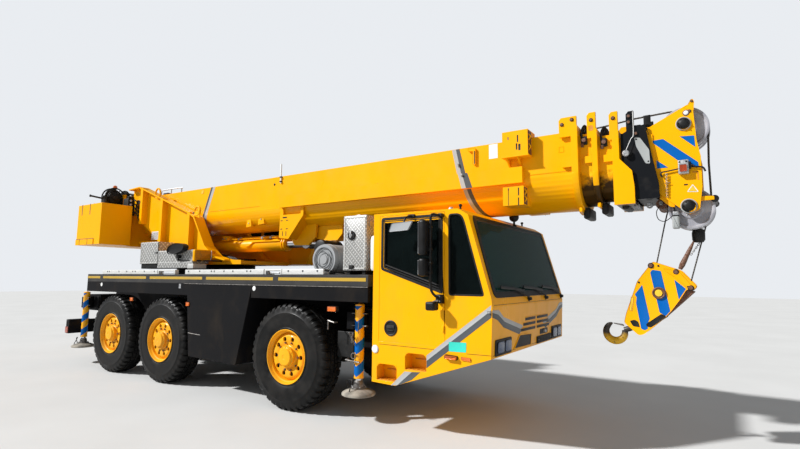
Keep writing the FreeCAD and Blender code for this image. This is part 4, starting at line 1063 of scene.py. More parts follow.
class CRANE_OT_cab_sides(CraneOperator, bpy.types.Operator):
    """Stripes, steps, lamps, signs, seams and the roof fittings of the driver's cab"""
    bl_idname = "crane.cab_sides"
    bl_label = "Cab sides and roof"

    def execute(self, context):
        for side_name, side in SIDES:
            self.stripes(side_name, side)
            self.steps(side_name, side)
            self.fittings(side_name, side)
        self.roof()
        return {"FINISHED"}

    def stripes(self, side_name, side):
        bands = Piece(f"side_stripes_{side_name}", "carrier", "yellow_paint")
        span = (side * (CAB_SIDE_FACE - 0.003), side * (CAB_SIDE_FACE + 0.0015))
        pale = ([(1.668, 0.531), (1.750, 0.541), (1.939, 0.702), (1.846, 0.700)], [(2.124, 0.895), (2.124, 0.838), (2.813, 1.358), (2.862, 1.395), (2.869, 1.452)])
        dark = ([(1.750, 0.541), (1.809, 0.562), (1.937, 0.619), (2.047, 0.712), (1.939, 0.702)], [(2.124, 0.838), (2.124, 0.763), (2.808, 1.284), (2.868, 1.330), (2.869, 1.400)])
        for outlines, finish in ((pale, stripe_pale), (dark, stripe_dark)):
            for outline in outlines:
                bands.plate(outline, "Y", span, finish, 0.0005)
        bands.done()

    def steps(self, side_name, side):
        """Rounded upper corners, a grooved tread and a lip for the two steps cut into the cab side; tread and lip are
        orange, painted shade inside the recess.
        """
        steps = Piece(f"cab_steps_{side_name}", "carrier", "yellow_paint")
        t = np.linspace(0.0, 0.5 * math.pi, 9)
        for rear, front, floor, top in ((1.470, 1.740, 0.570, 0.750), (1.850, 2.120, 0.720, 0.900)):
            span = (side * 1.120, side * (CAB_SIDE_FACE + 0.0005))
            for corner, turn in ((rear - 0.002, 1.0), (front + 0.002, -1.0)):
                radius = 0.058
                arc = [(corner + turn * radius * (1 - math.sin(v)), top + 0.002 - radius * (1 - math.cos(v))) for v in t]
                steps.plate([(corner, top + 0.002)] + arc[::-1], "Y", span, yellow_paint, 0.0005)
            # painted shade: the floor, ribs and lip of each recess are orange
            steps.box((rear - 0.001, min(side * 1.116, side * 1.250), floor - 0.001), (front + 0.001, max(side * 1.116, side * 1.250), floor + 0.006), tread_orange, 0.002)
            for index in range(5):
                x = rear + 0.035 + 0.050 * index
                steps.box((x - 0.006, min(side * 1.130, side * 1.235), floor + 0.004), (x + 0.006, max(side * 1.130, side * 1.235), floor + 0.011), tread_orange, 0.003)
            steps.box((rear + 0.05, min(side * 1.1145, side * 1.126), floor + 0.100), (front, max(side * 1.1145, side * 1.126), floor + 0.112), tread_orange, 0.003)
        steps.done()

    def fittings(self, side_name, side):
        face = side * CAB_SIDE_FACE
        fittings = Piece(f"cab_fittings_{side_name}", "carrier", "cab_trim")
        lamp = rounded([(2.352, 0.884), (2.492, 0.878), (2.500, 0.922), (2.352, 0.930)], 0.012)
        fittings.plate(lamp, "Y", (face - side * 0.003, face + side * 0.012), gasket_black, 0.003)
        fittings.plate(inset(lamp, 0.006), "Y", (face + side * 0.008, face + side * 0.034), lamp_orange, 0.009)
        flat = rounded([(2.536, 0.886), (2.640, 0.882), (2.640, 0.914), (2.536, 0.919)], 0.006)
        fittings.plate(flat, "Y", (face - side * 0.003, face + side * 0.009), lamp_orange, 0.003)
        sign = rounded([(2.392, 0.962), (2.588, 0.966), (2.592, 1.064), (2.393, 1.058)], 0.006)
        fittings.plate(sign, "Y", (face - side * 0.003, face + side * 0.0025), sign_teal, 0.001)
        for path in ([(2.595, 0.951), (2.860, 0.955), (2.860, 0.959), (2.595, 0.955)], [(1.500, 0.965), (2.335, 0.962), (2.335, 0.966), (1.500, 0.969)]):
            fittings.plate(path, "Y", (face - side * 0.003, face + side * 0.001), gasket_black, 0.0005)
        fittings.lathe([(0, -0.004), (0.046, -0.004), (0.046, side * 0.006), (0.038, side * 0.014), (0, side * 0.018)], (1.446, face, 0.907), sign_white, "Y", 28)
        bracket = [(2.835, 1.372), (2.870, 1.372), (2.870, 1.395), (2.835, 1.395)]
        fittings.plate(rounded(bracket, 0.006), "Y", (face - side * 0.003, face + side * 0.020), zinc, 0.003)
        fittings.lathe([(0, -0.012), (0.013, -0.012), (0.013, 0.012), (0, 0.012)], (2.858, face + side * 0.018, 1.384), zinc, "Z", 16)
        fittings.done()

    def roof(self):
        roof = Piece("roof_fittings", "carrier", "cab_trim")
        for side_name, side in SIDES:
            roof.lathe([(0, -0.004), (0.036, -0.004), (0.038, 0.012), (0.034, 0.038), (0.020, 0.058), (0, 0.062)], (2.285, side * 1.0, 2.4565), zinc, "Z", 24)
            roof.lathe([(0, -0.004), (0.013, -0.004), (0.011, 0.055), (0.020, 0.066), (0.018, 0.084), (0, 0.090)], (2.402, side * 1.0, 2.4555), gasket_black, "Z", 20)
            roof.lathe([(0, -0.004), (0.011, -0.004), (0.011, 0.022), (0, 0.028)], (2.190, side * 1.0, 2.4565), gasket_black, "Z", 16)
        ball = [(0.062 * math.sin(v), 2.512 - 0.062 * math.cos(v)) for v in np.linspace(0.26, math.pi, 16)]
        ball = [(0, 2.452)] + ball[:-1] + [(0, 2.574)]
        roof.lathe(ball, (2.590, 0.17, 0.0), gasket_black, "Z", 28)
        roof.lathe([(0, 2.392), (0.034, 2.392), (0.030, 2.408), (0.014, 2.416), (0.013, 2.462), (0, 2.462)], (2.590, 0.17, 0.0), gasket_black, "Z", 20)
        roof.lathe([(0, 1.80), (0.045, 1.802), (0.060, 1.83), (0.062, 2.16), (0.052, 2.21), (0.024, 2.225), (0.022, 2.245), (0, 2.248)], (1.332, -1.13, 0.0), sign_white, "Z", 32)
        roof.box((1.325, -1.16, 1.93), (1.402, -1.10, 1.96), gasket_black, 0.004)
        roof.box((1.325, -1.16, 2.10), (1.402, -1.10, 2.13), gasket_black, 0.004)
        roof.done()


class CRANE_OT_cab_doors(CraneOperator, bpy.types.Operator):
    """Window rubbers, the round handle, the mirrors on their tube and the kerb mirror of both doors"""
    bl_idname = "crane.cab_doors"
    bl_label = "Cab doors"

    def execute(self, context):
        for side_name, side in SIDES:
            self.window(side_name, side)
            self.handle(side_name, side)
            self.mirrors(side_name, side)
        return {"FINISHED"}

    def window(self, side_name, side):
        face = side * CAB_SIDE_FACE
        window = rounded([(1.512, 1.808), (2.322, 1.548), (2.322, 2.410), (1.512, 2.410)], 0.035, 5)
        rubber = Piece(f"door_rubber_{side_name}", f"cab_door_{side_name}", "cab_trim")
        rubber.frame(window, 0.030, "Y", (face - side * 0.003, face + side * 0.007), gasket_black)
        rubber.frame(inset(window, 0.036), 0.016, "Y", (face - side * 0.034, face + side * 0.002), gasket_black)
        rail = [(1.555, 1.862), (2.285, 1.628), (2.285, 1.643), (1.555, 1.877)]
        rubber.plate(rail, "Y", (face - side * 0.030, face - side * 0.006), cab_trim, 0.003)
        rubber.done()
        quarter = rounded([(2.388, 1.533), (2.800, 1.533), (2.578, 2.328), (2.550, 2.378), (2.506, 2.404), (2.388, 2.404)], 0.04, 6)
        glass = Piece(f"quarter_rubber_{side_name}", "carrier", "cab_trim")
        glass.frame(quarter, 0.020, "Y", (face - side * 0.012, face + side * 0.003), gasket_black)
        glass.done()

    def handle(self, side_name, side):
        """A round flush bowl with a paddle across it; the bowl's floor is flat."""
        face = side * CAB_SIDE_FACE
        radius = np.linspace(0.066, 0.0, 8)
        depth = 0.0015 + 0.0 * radius
        bowl = [(0.0, -0.003), (0.088, -0.003), (0.088, 0.006), (0.080, 0.010), (0.072, 0.008), (0.067, 0.003)]
        bowl += list(zip(radius, depth))
        handle = Piece(f"door_handle_{side_name}", f"cab_door_{side_name}", "cab_trim")
        handle.lathe([(r, side * d) for r, d in bowl], (1.657, face, 1.153), gasket_black, "Y", 40)
        low, high = mirrored(side, CAB_SIDE_FACE + 0.001, CAB_SIDE_FACE + 0.012)
        handle.box((1.604, low, 1.150), (1.710, high, 1.186), cab_trim, 0.004, 0.012, "Y")
        handle.box((1.618, low, 1.118), (1.696, high, 1.132), mirror_black, 0.003, 0.006, "Y")
        handle.done()

    def mirrors(self, side_name, side):
        body = f"cab_door_{side_name}"
        mirror = Piece(f"mirror_dressed_{side_name}", body, "mirror_black")
        low, high = mirrored(side, 1.315, 1.500)
        for base, top in ((1.950, 2.330), (1.732, 1.922)):
            mirror.box((2.146, low, base), (2.232, high, top), mirror_black, 0.028, 0.030, "X")
            glass = rounded([(low + 0.014, base + 0.014), (high - 0.014, base + 0.014), (high - 0.014, top - 0.014), (low + 0.014, top - 0.014)], 0.02)
            mirror.plate(glass, "X", (2.1430, 2.1475), chrome_rod, 0.001)
        low, high = mirrored(side, 1.335, 1.445)
        mirror.box((2.205, low, 1.380), (2.315, high, 1.472), mirror_black, 0.020, 0.022, "Y")
        post = side * 1.408
        path = smooth_path([
            (2.322, side * 1.255, 2.388), (2.300, side * 1.330, 2.388), (2.262, side * 1.400, 2.386), (2.252, post, 2.30),
            (2.250, post, 2.00), (2.250, post, 1.70), (2.256, side * 1.395, 1.585), (2.285, side * 1.340, 1.520), (2.290, side * 1.275, 1.508)], 8)
        mirror.tube(path, 0.0135, gasket_black, 12)
        for level in (2.255, 2.020, 1.870, 1.780):
            mirror.box((2.222, min(post - 0.022, post + 0.022), level - 0.016), (2.270, max(post - 0.022, post + 0.022), level + 0.016), gasket_black, 0.006)
        low, high = mirrored(side, CAB_SIDE_FACE - 0.003, 1.325)
        mirror.box((2.262, low, 1.452), (2.336, high, 1.545), gasket_black, 0.012, 0.015, "Y")
        mirror.box((2.290, low, 2.368), (2.338, low + 0.030 if side > 0 else high, 2.408), gasket_black, 0.006)
        mirror.tube(smooth_path([(2.292, side * 1.320, 1.480), (2.275, side * 1.352, 1.474), (2.262, side * 1.385, 1.462)], 6), 0.011, zinc, 10)
        mirror.studs([(2.282, side * 1.325, 1.525), (2.316, side * 1.325, 1.525), (2.282, side * 1.325, 1.475), (2.316, side * 1.325, 1.475)], "Y", 0.007, side * 0.006, zinc)
        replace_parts(mirror.done(), f"mirror_{side_name}")
        kerb = Piece(f"kerb_mirror_{side_name}", body, "mirror_black")
        outline = rounded([(1.738, 2.222), (1.985, 2.232), (2.045, 2.330), (1.775, 2.316)], 0.014)
        kerb.plate(outline, "Y", (side * 1.425, side * 1.440), cleaner_grey, 0.005)
        arm = smooth_path([(1.930, side * 1.255, 2.402), (1.930, side * 1.310, 2.404), (1.932, side * 1.400, 2.372), (1.925, side * 1.424, 2.318), (1.920, side * 1.428, 2.290)], 6)
        kerb.tube(arm, 0.011, gasket_black, 10)
        low, high = mirrored(side, CAB_SIDE_FACE - 0.003, 1.285)
        kerb.box((1.885, low, 2.388), (1.975, high, 2.424), gasket_black, 0.005, 0.008, "Y")
        kerb.done()


class CRANE_OT_boom(CraneOperator, bpy.types.Operator):
    """Stripes, bracket slots, pads, pins and hoses along the telescopic boom"""
    bl_idname = "crane.boom"
    bl_label = "Boom"

    def execute(self, context):
        self.base_stripes()
        self.base_brackets()
        self.base_fittings()
        self.mouths()
        self.fourth_section()
        return {"FINISHED"}

    def base_stripes(self):
        """Two-tone bands across the tube, over the side band and round under the boom."""
        stripes = Piece("boom_stripes", "boom_1", "yellow_paint")
        half, band = 0.380, 0.450
        for finish, rear, middle, lower in (
            (stripe_pale, (-2.966, -2.897, -3.360, -3.433), (1.979, 2.035, 2.111, 2.053), (2.135, 2.185, 2.335, 2.275)),
            (stripe_dark, (-3.022, -2.966, -3.433, -3.485), (2.035, 2.086, 2.170, 2.111), (2.185, 2.240, 2.395, 2.335)),
        ):
            stripes.skin([(rear[0], 3.362), (rear[1], 3.362), (rear[2], 2.25), (rear[3], 2.25)], half, 0.0015, finish, on_keel, 24)
            stripes.skin([(middle[0], 3.362), (middle[1], 3.362), (middle[2], 3.023), (middle[3], 3.023)], half, 0.0015, finish)
            stripes.skin([(lower[0], 2.831), (lower[1], 2.831), (lower[2], 2.25), (lower[3], 2.25)], half, 0.0015, finish, on_keel, 20)
        stripes.skin([(2.095, 3.0225), (2.153, 3.0225), (2.207, 2.8315), (2.147, 2.8315)], band, 0.0015, stripe_pale)
        stripes.skin([(2.153, 3.0225), (2.225, 3.0225), (2.292, 2.8315), (2.207, 2.8315)], band, 0.0015, stripe_dark)
        stripes.done()

    def base_brackets(self):
        """Slots, openings, lips and gussets of the jib brackets, and the lift bracket's cut-outs; slots, openings,
        cut-outs and a strip on the L bracket are dark plates, painted shade.
        """
        trim = Piece("boom_brackets", "boom_1", "yellow_paint")
        face = 0.510
        # painted shade: the bracket slots are near-black plates
        trim.bars([
            (2.892, 3.300, 2.908, 3.384), (2.878, 3.211, 2.895, 3.286), (2.908, 3.200, 2.933, 3.276), (2.893, 2.670, 2.907, 2.762),
            (2.892, 2.557, 2.905, 2.647), (2.774, 2.563, 2.781, 2.757),
        ], face, gasket_black)
        trim.bars([(2.777, 3.342, 2.791, 3.376), (2.772, 2.738, 2.785, 2.768)], face, rusty_pin)
        for front, low, high in ((3.020, 3.150, 3.430), (2.960, 2.570, 2.770)):
            for _, side in SIDES:
                near, far = mirrored(side, 0.385, 0.502)
                opening = rounded([(near, low), (far, low), (far, high), (near, high)], 0.012)
                # painted shade: the hollow front of each bracket is a dark brown plate
                trim.plate(opening, "X", (front - 0.003, front + 0.0012), rusty_pin, 0.0005)
                for share in (0.30, 0.72):
                    middle = low + share * (high - low)
                    bow = [(front, side * 0.475, middle - 0.035), (front + 0.022, side * 0.480, middle), (front, side * 0.475, middle + 0.035)]
                    trim.tube(smooth_path(bow, 6), 0.008, yellow_paint, 8)
        for _, side in SIDES:
            near, far = mirrored(side, 0.375, 0.520)
            trim.plate([(2.702, near), (3.030, near), (3.030, far), (2.702, far)], "Z", (3.128, 3.142), yellow_paint, 0.003)
            gusset = [(side * 0.376, 3.130), (side * 0.500, 3.130), (side * 0.376, 3.030)]
            for x in (2.745, 2.880):
                trim.plate(gusset, "X", (x, x + 0.020), yellow_paint, 0.002)
        trim.pair([(2.220, 3.344), (2.318, 3.331), (2.316, 3.128), (2.282, 3.132), (2.284, 3.298), (2.220, 3.306)], 0.380, 0.030, yellow_paint, 0.003)
        # painted shade: a dark strip along the L bracket's edge
        trim.bars([(2.300, 3.135, 2.312, 3.300)], 0.410, gasket_black)
        # painted shade: the lift bracket's cut-outs are near-black plates
        trim.bars([(-1.090, 2.664, -0.992, 2.686)], 0.390, gasket_black)
        trim.bars([(x, z, x + 0.045, z + 0.013) for x in (-1.135, -1.010) for z in (2.484, 2.620)], 0.390, gasket_black)
        trim.bars([(-1.090, 2.375, -1.076, 2.452), (-1.010, 2.375, -0.996, 2.452)], 0.390, gasket_black)
        trim.pair(rounded([(-0.805, 2.6), (-0.778, 2.534), (-0.615, 2.338), (-0.349, 2.296), (-0.147, 2.298), (-0.055, 2.395), (-0.047, 2.6)], 0.012), 0.110, 0.012, yellow_paint, 0.003, 0.010)
        trim.done()

    def base_fittings(self):
        trim = Piece("boom_fittings", "boom_1", "yellow_paint")
        trim.skin([(2.489, 3.357), (2.601, 3.357), (2.601, 3.178), (2.488, 3.178)], 0.380, 0.0022, sign_white)
        trim.pair([(-3.0, 2.9055), (-1.68, 2.9055), (-1.68, 2.9105), (-3.0, 2.9105)], 0.380, 0.003, yellow_paint, 0.0015)
        trim.pair([(2.970, 2.918), (3.480, 2.918), (3.480, 2.923), (2.970, 2.923)], 0.380, 0.003, yellow_paint, 0.0015)
        mark = rounded([(3.330, 3.141), (3.390, 3.141), (3.390, 3.209), (3.330, 3.209)], 0.006)
        for _, side in SIDES:
            trim.frame(mark, 0.008, "Y", (side * 0.377, side * 0.3835), yellow_paint)
        trim.pair(rounded([(-3.318, 3.270), (-3.245, 3.270), (-3.235, 3.342), (-3.305, 3.342)], 0.02), 0.380, 0.004, sign_yellow, 0.002)
        pins(trim, [(-1.320, 3.246)], 0.380, 0.014, 0.006, gasket_black)
        for rear, front, low, high in ((-2.060, -1.920, 2.570, 2.710), (-1.760, -1.600, 2.600, 2.790)):
            for _, side in SIDES:
                near, far = mirrored(side, 0.240, 0.330)
                slope = [(rear, low), (front, low + 0.010), (front - 0.020, high), (rear + 0.030, high - 0.012)]
                trim.plate(rounded(slope, 0.010), "Y", (near, far), yellow_paint, 0.006)
                trim.studs([((rear + front) / 2, side * 0.329, (low + high) / 2)], "Y", 0.014, side * 0.010, zinc)
        for x in (0.980, 1.180):
            for _, side in SIDES:
                near, far = mirrored(side, 0.180, 0.250)
                fin = rounded([(x, 2.640), (x + 0.085, 2.640), (x + 0.070, 2.470), (x + 0.045, 2.430), (x + 0.020, 2.470)], 0.02)
                trim.plate(fin, "Y", (near, far), yellow_paint, 0.004)
        trim.lathe([(0, 3.250), (0.013, 3.250), (0.012, 3.560), (0.006, 3.575), (0, 3.575)], (-1.160, -0.394, 0.0), sign_white, "Z", 14)
        for level in (3.275, 3.350):
            trim.box((-1.178, -0.412, level - 0.010), (-1.142, -0.376, level + 0.010), gasket_black, 0.003)
        for x in (-4.2, -2.4, -0.6, 1.2, 3.0):
            trim.box((x - 0.05, -0.17, 3.360), (x + 0.05, 0.17, 3.372), yellow_paint, 0.004)
            for side in (-1.0, 1.0):
                trim.box((x - 0.040, side * 0.135 - 0.012, 3.368), (x + 0.040, side * 0.135 + 0.012, 3.425), yellow_paint, 0.004)
            trim.lathe([(0, -0.122), (0.026, -0.122), (0.018, -0.06), (0.018, 0.06), (0.026, 0.122), (0, 0.122)], (x, 0.0, 3.398), zinc, "Y", 20)
        trim.tube([(-5.20, -0.060, 3.432), (-4.2, -0.060, 3.426), (-0.6, -0.060, 3.426), (3.0, -0.060, 3.428), (3.52, -0.060, 3.440)], 0.010, rope_steel, 8)
        trim.done()

    def mouths(self):
        """Pins in the collar ears, hose clusters, adjusting pads and black guides where a section leaves the next."""
        for number, half, ear, mouth in (
            (1, 0.430, rows((3.388, 3.443), (3.497, 3.484)), 3.550), (2, 0.375, rows((3.688, 3.462)), 3.745),
            (3, 0.335, rows((3.906, 3.455)), 3.954), (4, 0.295, rows((4.057, 3.461), (4.054, 3.394), (4.119, 3.260)), None),
        ):
            trim = Piece(f"mouth_trim_{number}", f"boom_{number}", "yellow_paint")
            pins(trim, ear, half, 0.015, 0.016)
            if mouth:
                top = 3.405 - 0.040 * number
                inner = 0.380 - 0.040 * number
                low = 2.890 - inner - 0.036
                trim.box((mouth - 0.020, -0.17, low - 0.115), (mouth + 0.052, 0.17, low + 0.010), gasket_black, 0.020, 0.03, "X")
                trim.box((mouth - 0.045, -0.24, low - 0.045), (mouth - 0.012, 0.24, low + 0.006), yellow_paint, 0.006)
                for y in (-0.20, 0.0, 0.20):
                    trim.box((mouth - 0.050, y - 0.045, top + 0.025), (mouth - 0.014, y + 0.045, top + 0.050), yellow_paint, 0.005)
                trim.studs([(mouth - 0.032, y, top + 0.050) for y in (-0.22, -0.18, -0.02, 0.02, 0.18, 0.22)], "Z", 0.010, 0.010, zinc)
            if number in (2, 3):
                self.hoses(trim, {2: 3.608, 3: 3.806}[number], 0.380 - 0.040 * (number - 1), 3.405 - 0.040 * number)
            if number == 2:
                trim.bars([(3.658, 3.343, 3.708, 3.402)], 0.375, tread_orange, 0.0015)
            trim.done()

    def hoses(self, trim, x, half, top):
        """Black hoses that loop over the top edge, with bright unions at their ends."""
        for index in range(4):
            y = -(half - 0.060 * index - 0.01)
            low = top - 0.13 - 0.045 * (index % 2)
            path = [(x - 0.022, y - 0.030, low), (x - 0.030, y - 0.020, top + 0.020), (x, y + 0.010, top + 0.100), (x + 0.026, y + 0.030, top + 0.030), (x + 0.020, y + 0.040, top - 0.010)]
            trim.tube(smooth_path(path, 6), 0.013, gasket_black, 8)
            trim.lathe([(0, -0.020), (0.016, -0.020), (0.016, 0.0), (0.020, 0.002), (0.020, 0.016), (0, 0.016)], path[0], rusty_pin, "Z", 10)
        trim.box((x - 0.034, -half - 0.032, top - 0.125), (x + 0.030, -half + 0.010, top - 0.035), gasket_black, 0.008)
        trim.lathe([(0, -0.02), (0.022, -0.02), (0.022, 0.012), (0.014, 0.020), (0, 0.020)], (x, -half - 0.035, top - 0.080), rusty_pin, "Y", 14)
        trim.tube([(x - 0.02, 0.30 * half, top + 0.02), (x + 0.03, 0.30 * half, top + 0.02)], 0.030, gasket_black, 12)

    def fourth_section(self):
        """Grey cover plate, feeler roller with its cord and the hose bends on the black collar."""
        trim = Piece("collar_trim_4", "boom_4", "yellow_paint")
        panel = rounded([(4.102, 3.218), (4.157, 3.209), (4.238, 3.068), (4.242, 2.920), (4.199, 2.926), (4.115, 3.122)], 0.014)
        trim.pair(panel, 0.295, 0.004, panel_grey, 0.002)
        pins(trim, [(4.122, 3.196), (4.226, 2.945)], 0.299, 0.006, 0.004, gasket_black)
        trim.lathe([(0, -0.004), (0.030, -0.004), (0.030, -0.030), (0.034, -0.034), (0.034, -0.050), (0.026, -0.056), (0, -0.056)], (4.020, -0.295, 3.050), zinc, "Y", 24)
        trim.box((4.020, -0.325, 3.030), (4.075, -0.295, 3.070), mirror_black, 0.008)
        trim.tube(smooth_path([(4.020, -0.332, 3.080), (4.075, -0.325, 3.205), (4.098, -0.318, 3.250), (4.100, -0.312, 3.500)], 4), 0.0035, sign_white, 6)
        for index, reach in enumerate((0.0, 0.030, 0.055)):
            y = -0.225 + 0.075 * index
            bend = [(4.060, y, 3.230), (4.110, y, 3.300), (4.165 + 0.5 * reach, y, 3.345 + reach), (4.220 + reach, y, 3.300), (4.235 + reach, y, 3.235)]
            trim.tube(smooth_path(bend, 6), 0.016, gasket_black, 8)
        trim.box((4.070, -0.245, 3.290), (4.150, 0.245, 3.370), mirror_black, 0.012)
        trim.studs([(4.092, -0.247, 3.352), (4.128, -0.247, 3.352), (4.092, -0.247, 3.310)], "Y", 0.010, -0.010, zinc)
        for x in (3.560, 4.078):
            trim.lathe([(0.014, -0.012), (0.030, -0.012), (0.034, 0.0), (0.030, 0.012), (0.014, 0.012), (0.014, -0.012)], (x if x > 4 else 4.20, -0.12, 2.505), zinc, "Y", 20)
        trim.done()


class CRANE_OT_head(CraneOperator, bpy.types.Operator):
    """Bands, hubs, lamps, arms, chain and sheaves of the boom head"""
    bl_idname = "crane.head"
    bl_label = "Boom head"

    def execute(self, context):
        self.plates()
        self.gear()
        for name, centre, radius, bore in (("top", (4.560, -0.050, 3.280), 0.222, 0.0403), ("low", (4.580, -0.050, 2.440), 0.208, 0.0453)):
            self.sheave(name, centre, radius, bore)
        return {"FINISHED"}

    def plates(self):
        trim = Piece("head_plates_trim", "boom_5", "yellow_paint")
        face = 0.240
        trim.pair(rounded([(4.263, 3.171), (4.366, 3.176), (4.665, 2.893), (4.667, 2.846), (4.490, 2.931), (4.268, 3.150)], 0.006), face, 0.0015, accent_blue)
        trim.pair(rounded([(4.516, 3.180), (4.644, 3.170), (4.648, 3.050)], 0.004), face, 0.0015, accent_blue)
        dark = rounded([(4.296, 2.957), (4.399, 2.870), (4.297, 2.870)], 0.004)
        trim.pair(dark, face, 0.0015, accent_blue)
        for centre, radius in (((4.556, 3.306), 0.068), ((4.563, 2.455), 0.072)):
            for _, side in SIDES:
                hub = [(0, -0.003), (1.04, -0.003), (1.04, 0.010), (0.97, 0.016), (0.90, 0.016), (0.89, 0.006), (0.88, 0.022), (0.80, 0.030), (0.46, 0.044), (0.30, 0.047), (0, 0.048)]
                ring = [(r * radius, side * d) for r, d in hub[:5]] + [(0, side * 0.008)]
                dome = [(0, side * 0.006)] + [(r * radius, side * d) for r, d in hub[5:]]
                middle = (centre[0], side * face, centre[1])
                trim.lathe(ring, middle, panel_grey, "Y", 36)
                trim.lathe(dome, middle, gasket_black, "Y", 36)
                angle = np.arange(6) / 6 * TURN
                spots = np.stack([centre[0] + 0.62 * radius * np.cos(angle), 0 * angle + side * (face + 0.038), centre[1] + 0.62 * radius * np.sin(angle)], -1)
                trim.studs(spots, "Y", 0.007, side * 0.008, mirror_black)
        pins(trim, [(4.584, 3.417)], face, 0.022, 0.010, sign_white, rusty_pin)
        pins(trim, [(4.614, 3.430)], face, 0.012, 0.012)
        lug = rounded([(4.560, 3.470), (4.604, 3.500), (4.632, 3.552), (4.652, 3.552), (4.660, 3.525), (4.650, 3.430)], 0.012)
        for _, side in SIDES:
            trim.plate(lug, "Y", (side * 0.206, side * 0.239), yellow_paint, 0.003)
        pins(trim, [(4.640, 3.530)], 0.239, 0.009, 0.012)
        sign = [(4.606, 2.676), (4.552, 2.600), (4.656, 2.592)]
        trim.pair(rounded(sign, 0.012), face, 0.0015, sign_white)
        trim.pair(inset(rounded([(4.606, 2.668), (4.560, 2.604), (4.648, 2.597)], 0.008), 0.004), face, 0.0025, sign_yellow)
        trim.bars([(4.530, 2.668, 4.565, 2.682)], face, gasket_black)
        trim.bars([(4.612, 2.792, 4.662, 2.802), (4.650, 2.715, 4.662, 2.802)], face, tread_orange, 0.002)
        trim.done()

    def gear(self):
        """Lamp box on its arm, chain and pulley of the limit weight, roller arm and work light."""
        trim = Piece("head_gear", "boom_5", "yellow_paint")
        trim.box((4.490, -0.300, 2.778), (4.584, -0.243, 2.922), zinc, 0.008, 0.010, "Y")
        lens_edge = rounded([(4.503, 2.800), (4.566, 2.800), (4.566, 2.872), (4.503, 2.872)], 0.010)
        trim.plate(lens_edge, "Y", (-0.299, -0.306), lamp_red, 0.004)
        trim.bars([(4.498, 2.893, 4.512, 2.910), (4.556, 2.893, 4.574, 2.910)], 0.300, gasket_black)
        arm = [(4.345, -0.262, 2.772), (4.330, -0.262, 2.800), (4.340, -0.262, 2.820), (4.385, -0.262, 2.826), (4.490, -0.262, 2.840)]
        trim.tube(smooth_path(arm, 6), 0.007, gasket_black, 8)
        trim.tube(smooth_path([(4.584, -0.262, 2.865), (4.640, -0.262, 2.845), (4.700, -0.262, 2.832), (4.722, -0.262, 2.790)], 6), 0.009, gasket_black, 8)
        trim.box((4.584, -0.290, 2.830), (4.604, -0.240, 2.900), mirror_black, 0.005)
        self.chain(trim, (4.384, -0.262, 2.800), (4.378, -0.256, 2.560), 15)
        trim.tube([(4.362, -0.262, 2.706), (4.408, -0.262, 2.706)], 0.004, worn_steel, 6)
        for _, side in SIDES:
            near, far = mirrored(side, 0.190, 0.226)
            bracket = rounded([(4.300, 2.610), (4.345, 2.590), (4.440, 2.500), (4.440, 2.455), (4.400, 2.462), (4.300, 2.560)], 0.010)
            trim.plate(bracket, "Y", (near, far), yellow_paint, 0.004)
            near, far = mirrored(side, 0.180, 0.215)
            trim.plate(rounded([(4.660, 2.552), (4.780, 2.545), (4.782, 2.508), (4.660, 2.505)], 0.008), "Y", (near, far), yellow_paint, 0.003)
        trim.lathe([(0, -0.21), (0.030, -0.21), (0.036, -0.20), (0.026, -0.18), (0.026, 0.18), (0.036, 0.20), (0.030, 0.21), (0, 0.21)], (4.785, 0.0, 2.520), mirror_black, "Y", 20)
        trim.lathe([(0, -0.17), (0.052, -0.17), (0.056, -0.15), (0.040, -0.10), (0.040, 0.10), (0.056, 0.15), (0.052, 0.17), (0, 0.17)], (4.316, 0.0, 2.505), rusty_pin, "Y", 28)
        trim.tube([(4.316, -0.235, 2.505), (4.316, 0.235, 2.505)], 0.020, worn_steel, 12)
        trim.box((4.408, -0.235, 2.236), (4.475, -0.165, 2.368), panel_grey, 0.016, 0.014, "Y")
        trim.box((4.418, -0.225, 2.372), (4.470, -0.175, 2.412), zinc, 0.006)
        trim.tube(smooth_path([(4.443, -0.200, 2.400), (4.430, -0.205, 2.450), (4.420, -0.215, 2.480)], 4), 0.008, gasket_black, 8)
        trim.box((4.413, -0.232, 2.352), (4.470, -0.168, 2.374), gasket_black, 0.005)
        loop = [(4.300, -0.200, 2.480), (4.268, -0.200, 2.420), (4.282, -0.200, 2.345), (4.336, -0.200, 2.318), (4.390, -0.200, 2.350), (4.410, -0.200, 2.372)]
        trim.tube(smooth_path(loop, 8), 0.004, gasket_black, 6)
        rope = [(3.520, -0.060, 3.440), (3.800, -0.060, 3.462), (4.086, -0.060, 3.494), (4.420, -0.115, 3.490)]
        around = np.linspace(92, 0, 12) * math.pi / 180
        rope += [(4.560 + 0.205 * math.cos(v), -0.115, 3.280 + 0.205 * math.sin(v)) for v in around]
        rope += [(4.752, -0.115, 2.90), (4.756, -0.115, 2.470)]
        trim.tube(rope, 0.010, rope_steel, 8)
        for y in (-0.13, 0.13):
            trim.box((4.180, y - 0.012, 3.290), (4.250, y + 0.012, 3.490), mirror_black, 0.005)
        trim.done()

    def chain(self, piece, start, end, links):
        """Ovals threaded on a line, each a quarter turn from the one before."""
        start, end = np.array(start), np.array(end)
        step = (end - start) / links
        long = np.linalg.norm(step) * 0.72
        along = step / np.linalg.norm(step)
        across = np.array([0.0, 1.0, 0.0])
        other = np.cross(along, across)
        t = np.linspace(0, TURN, 9)[:, None]
        for index in range(links):
            side = across if index % 2 else other
            path = start + step * (index + 0.5) + long * np.cos(t) * along + 0.009 * np.sin(t) * side
            piece.tube(path, 0.003, worn_steel, 5)

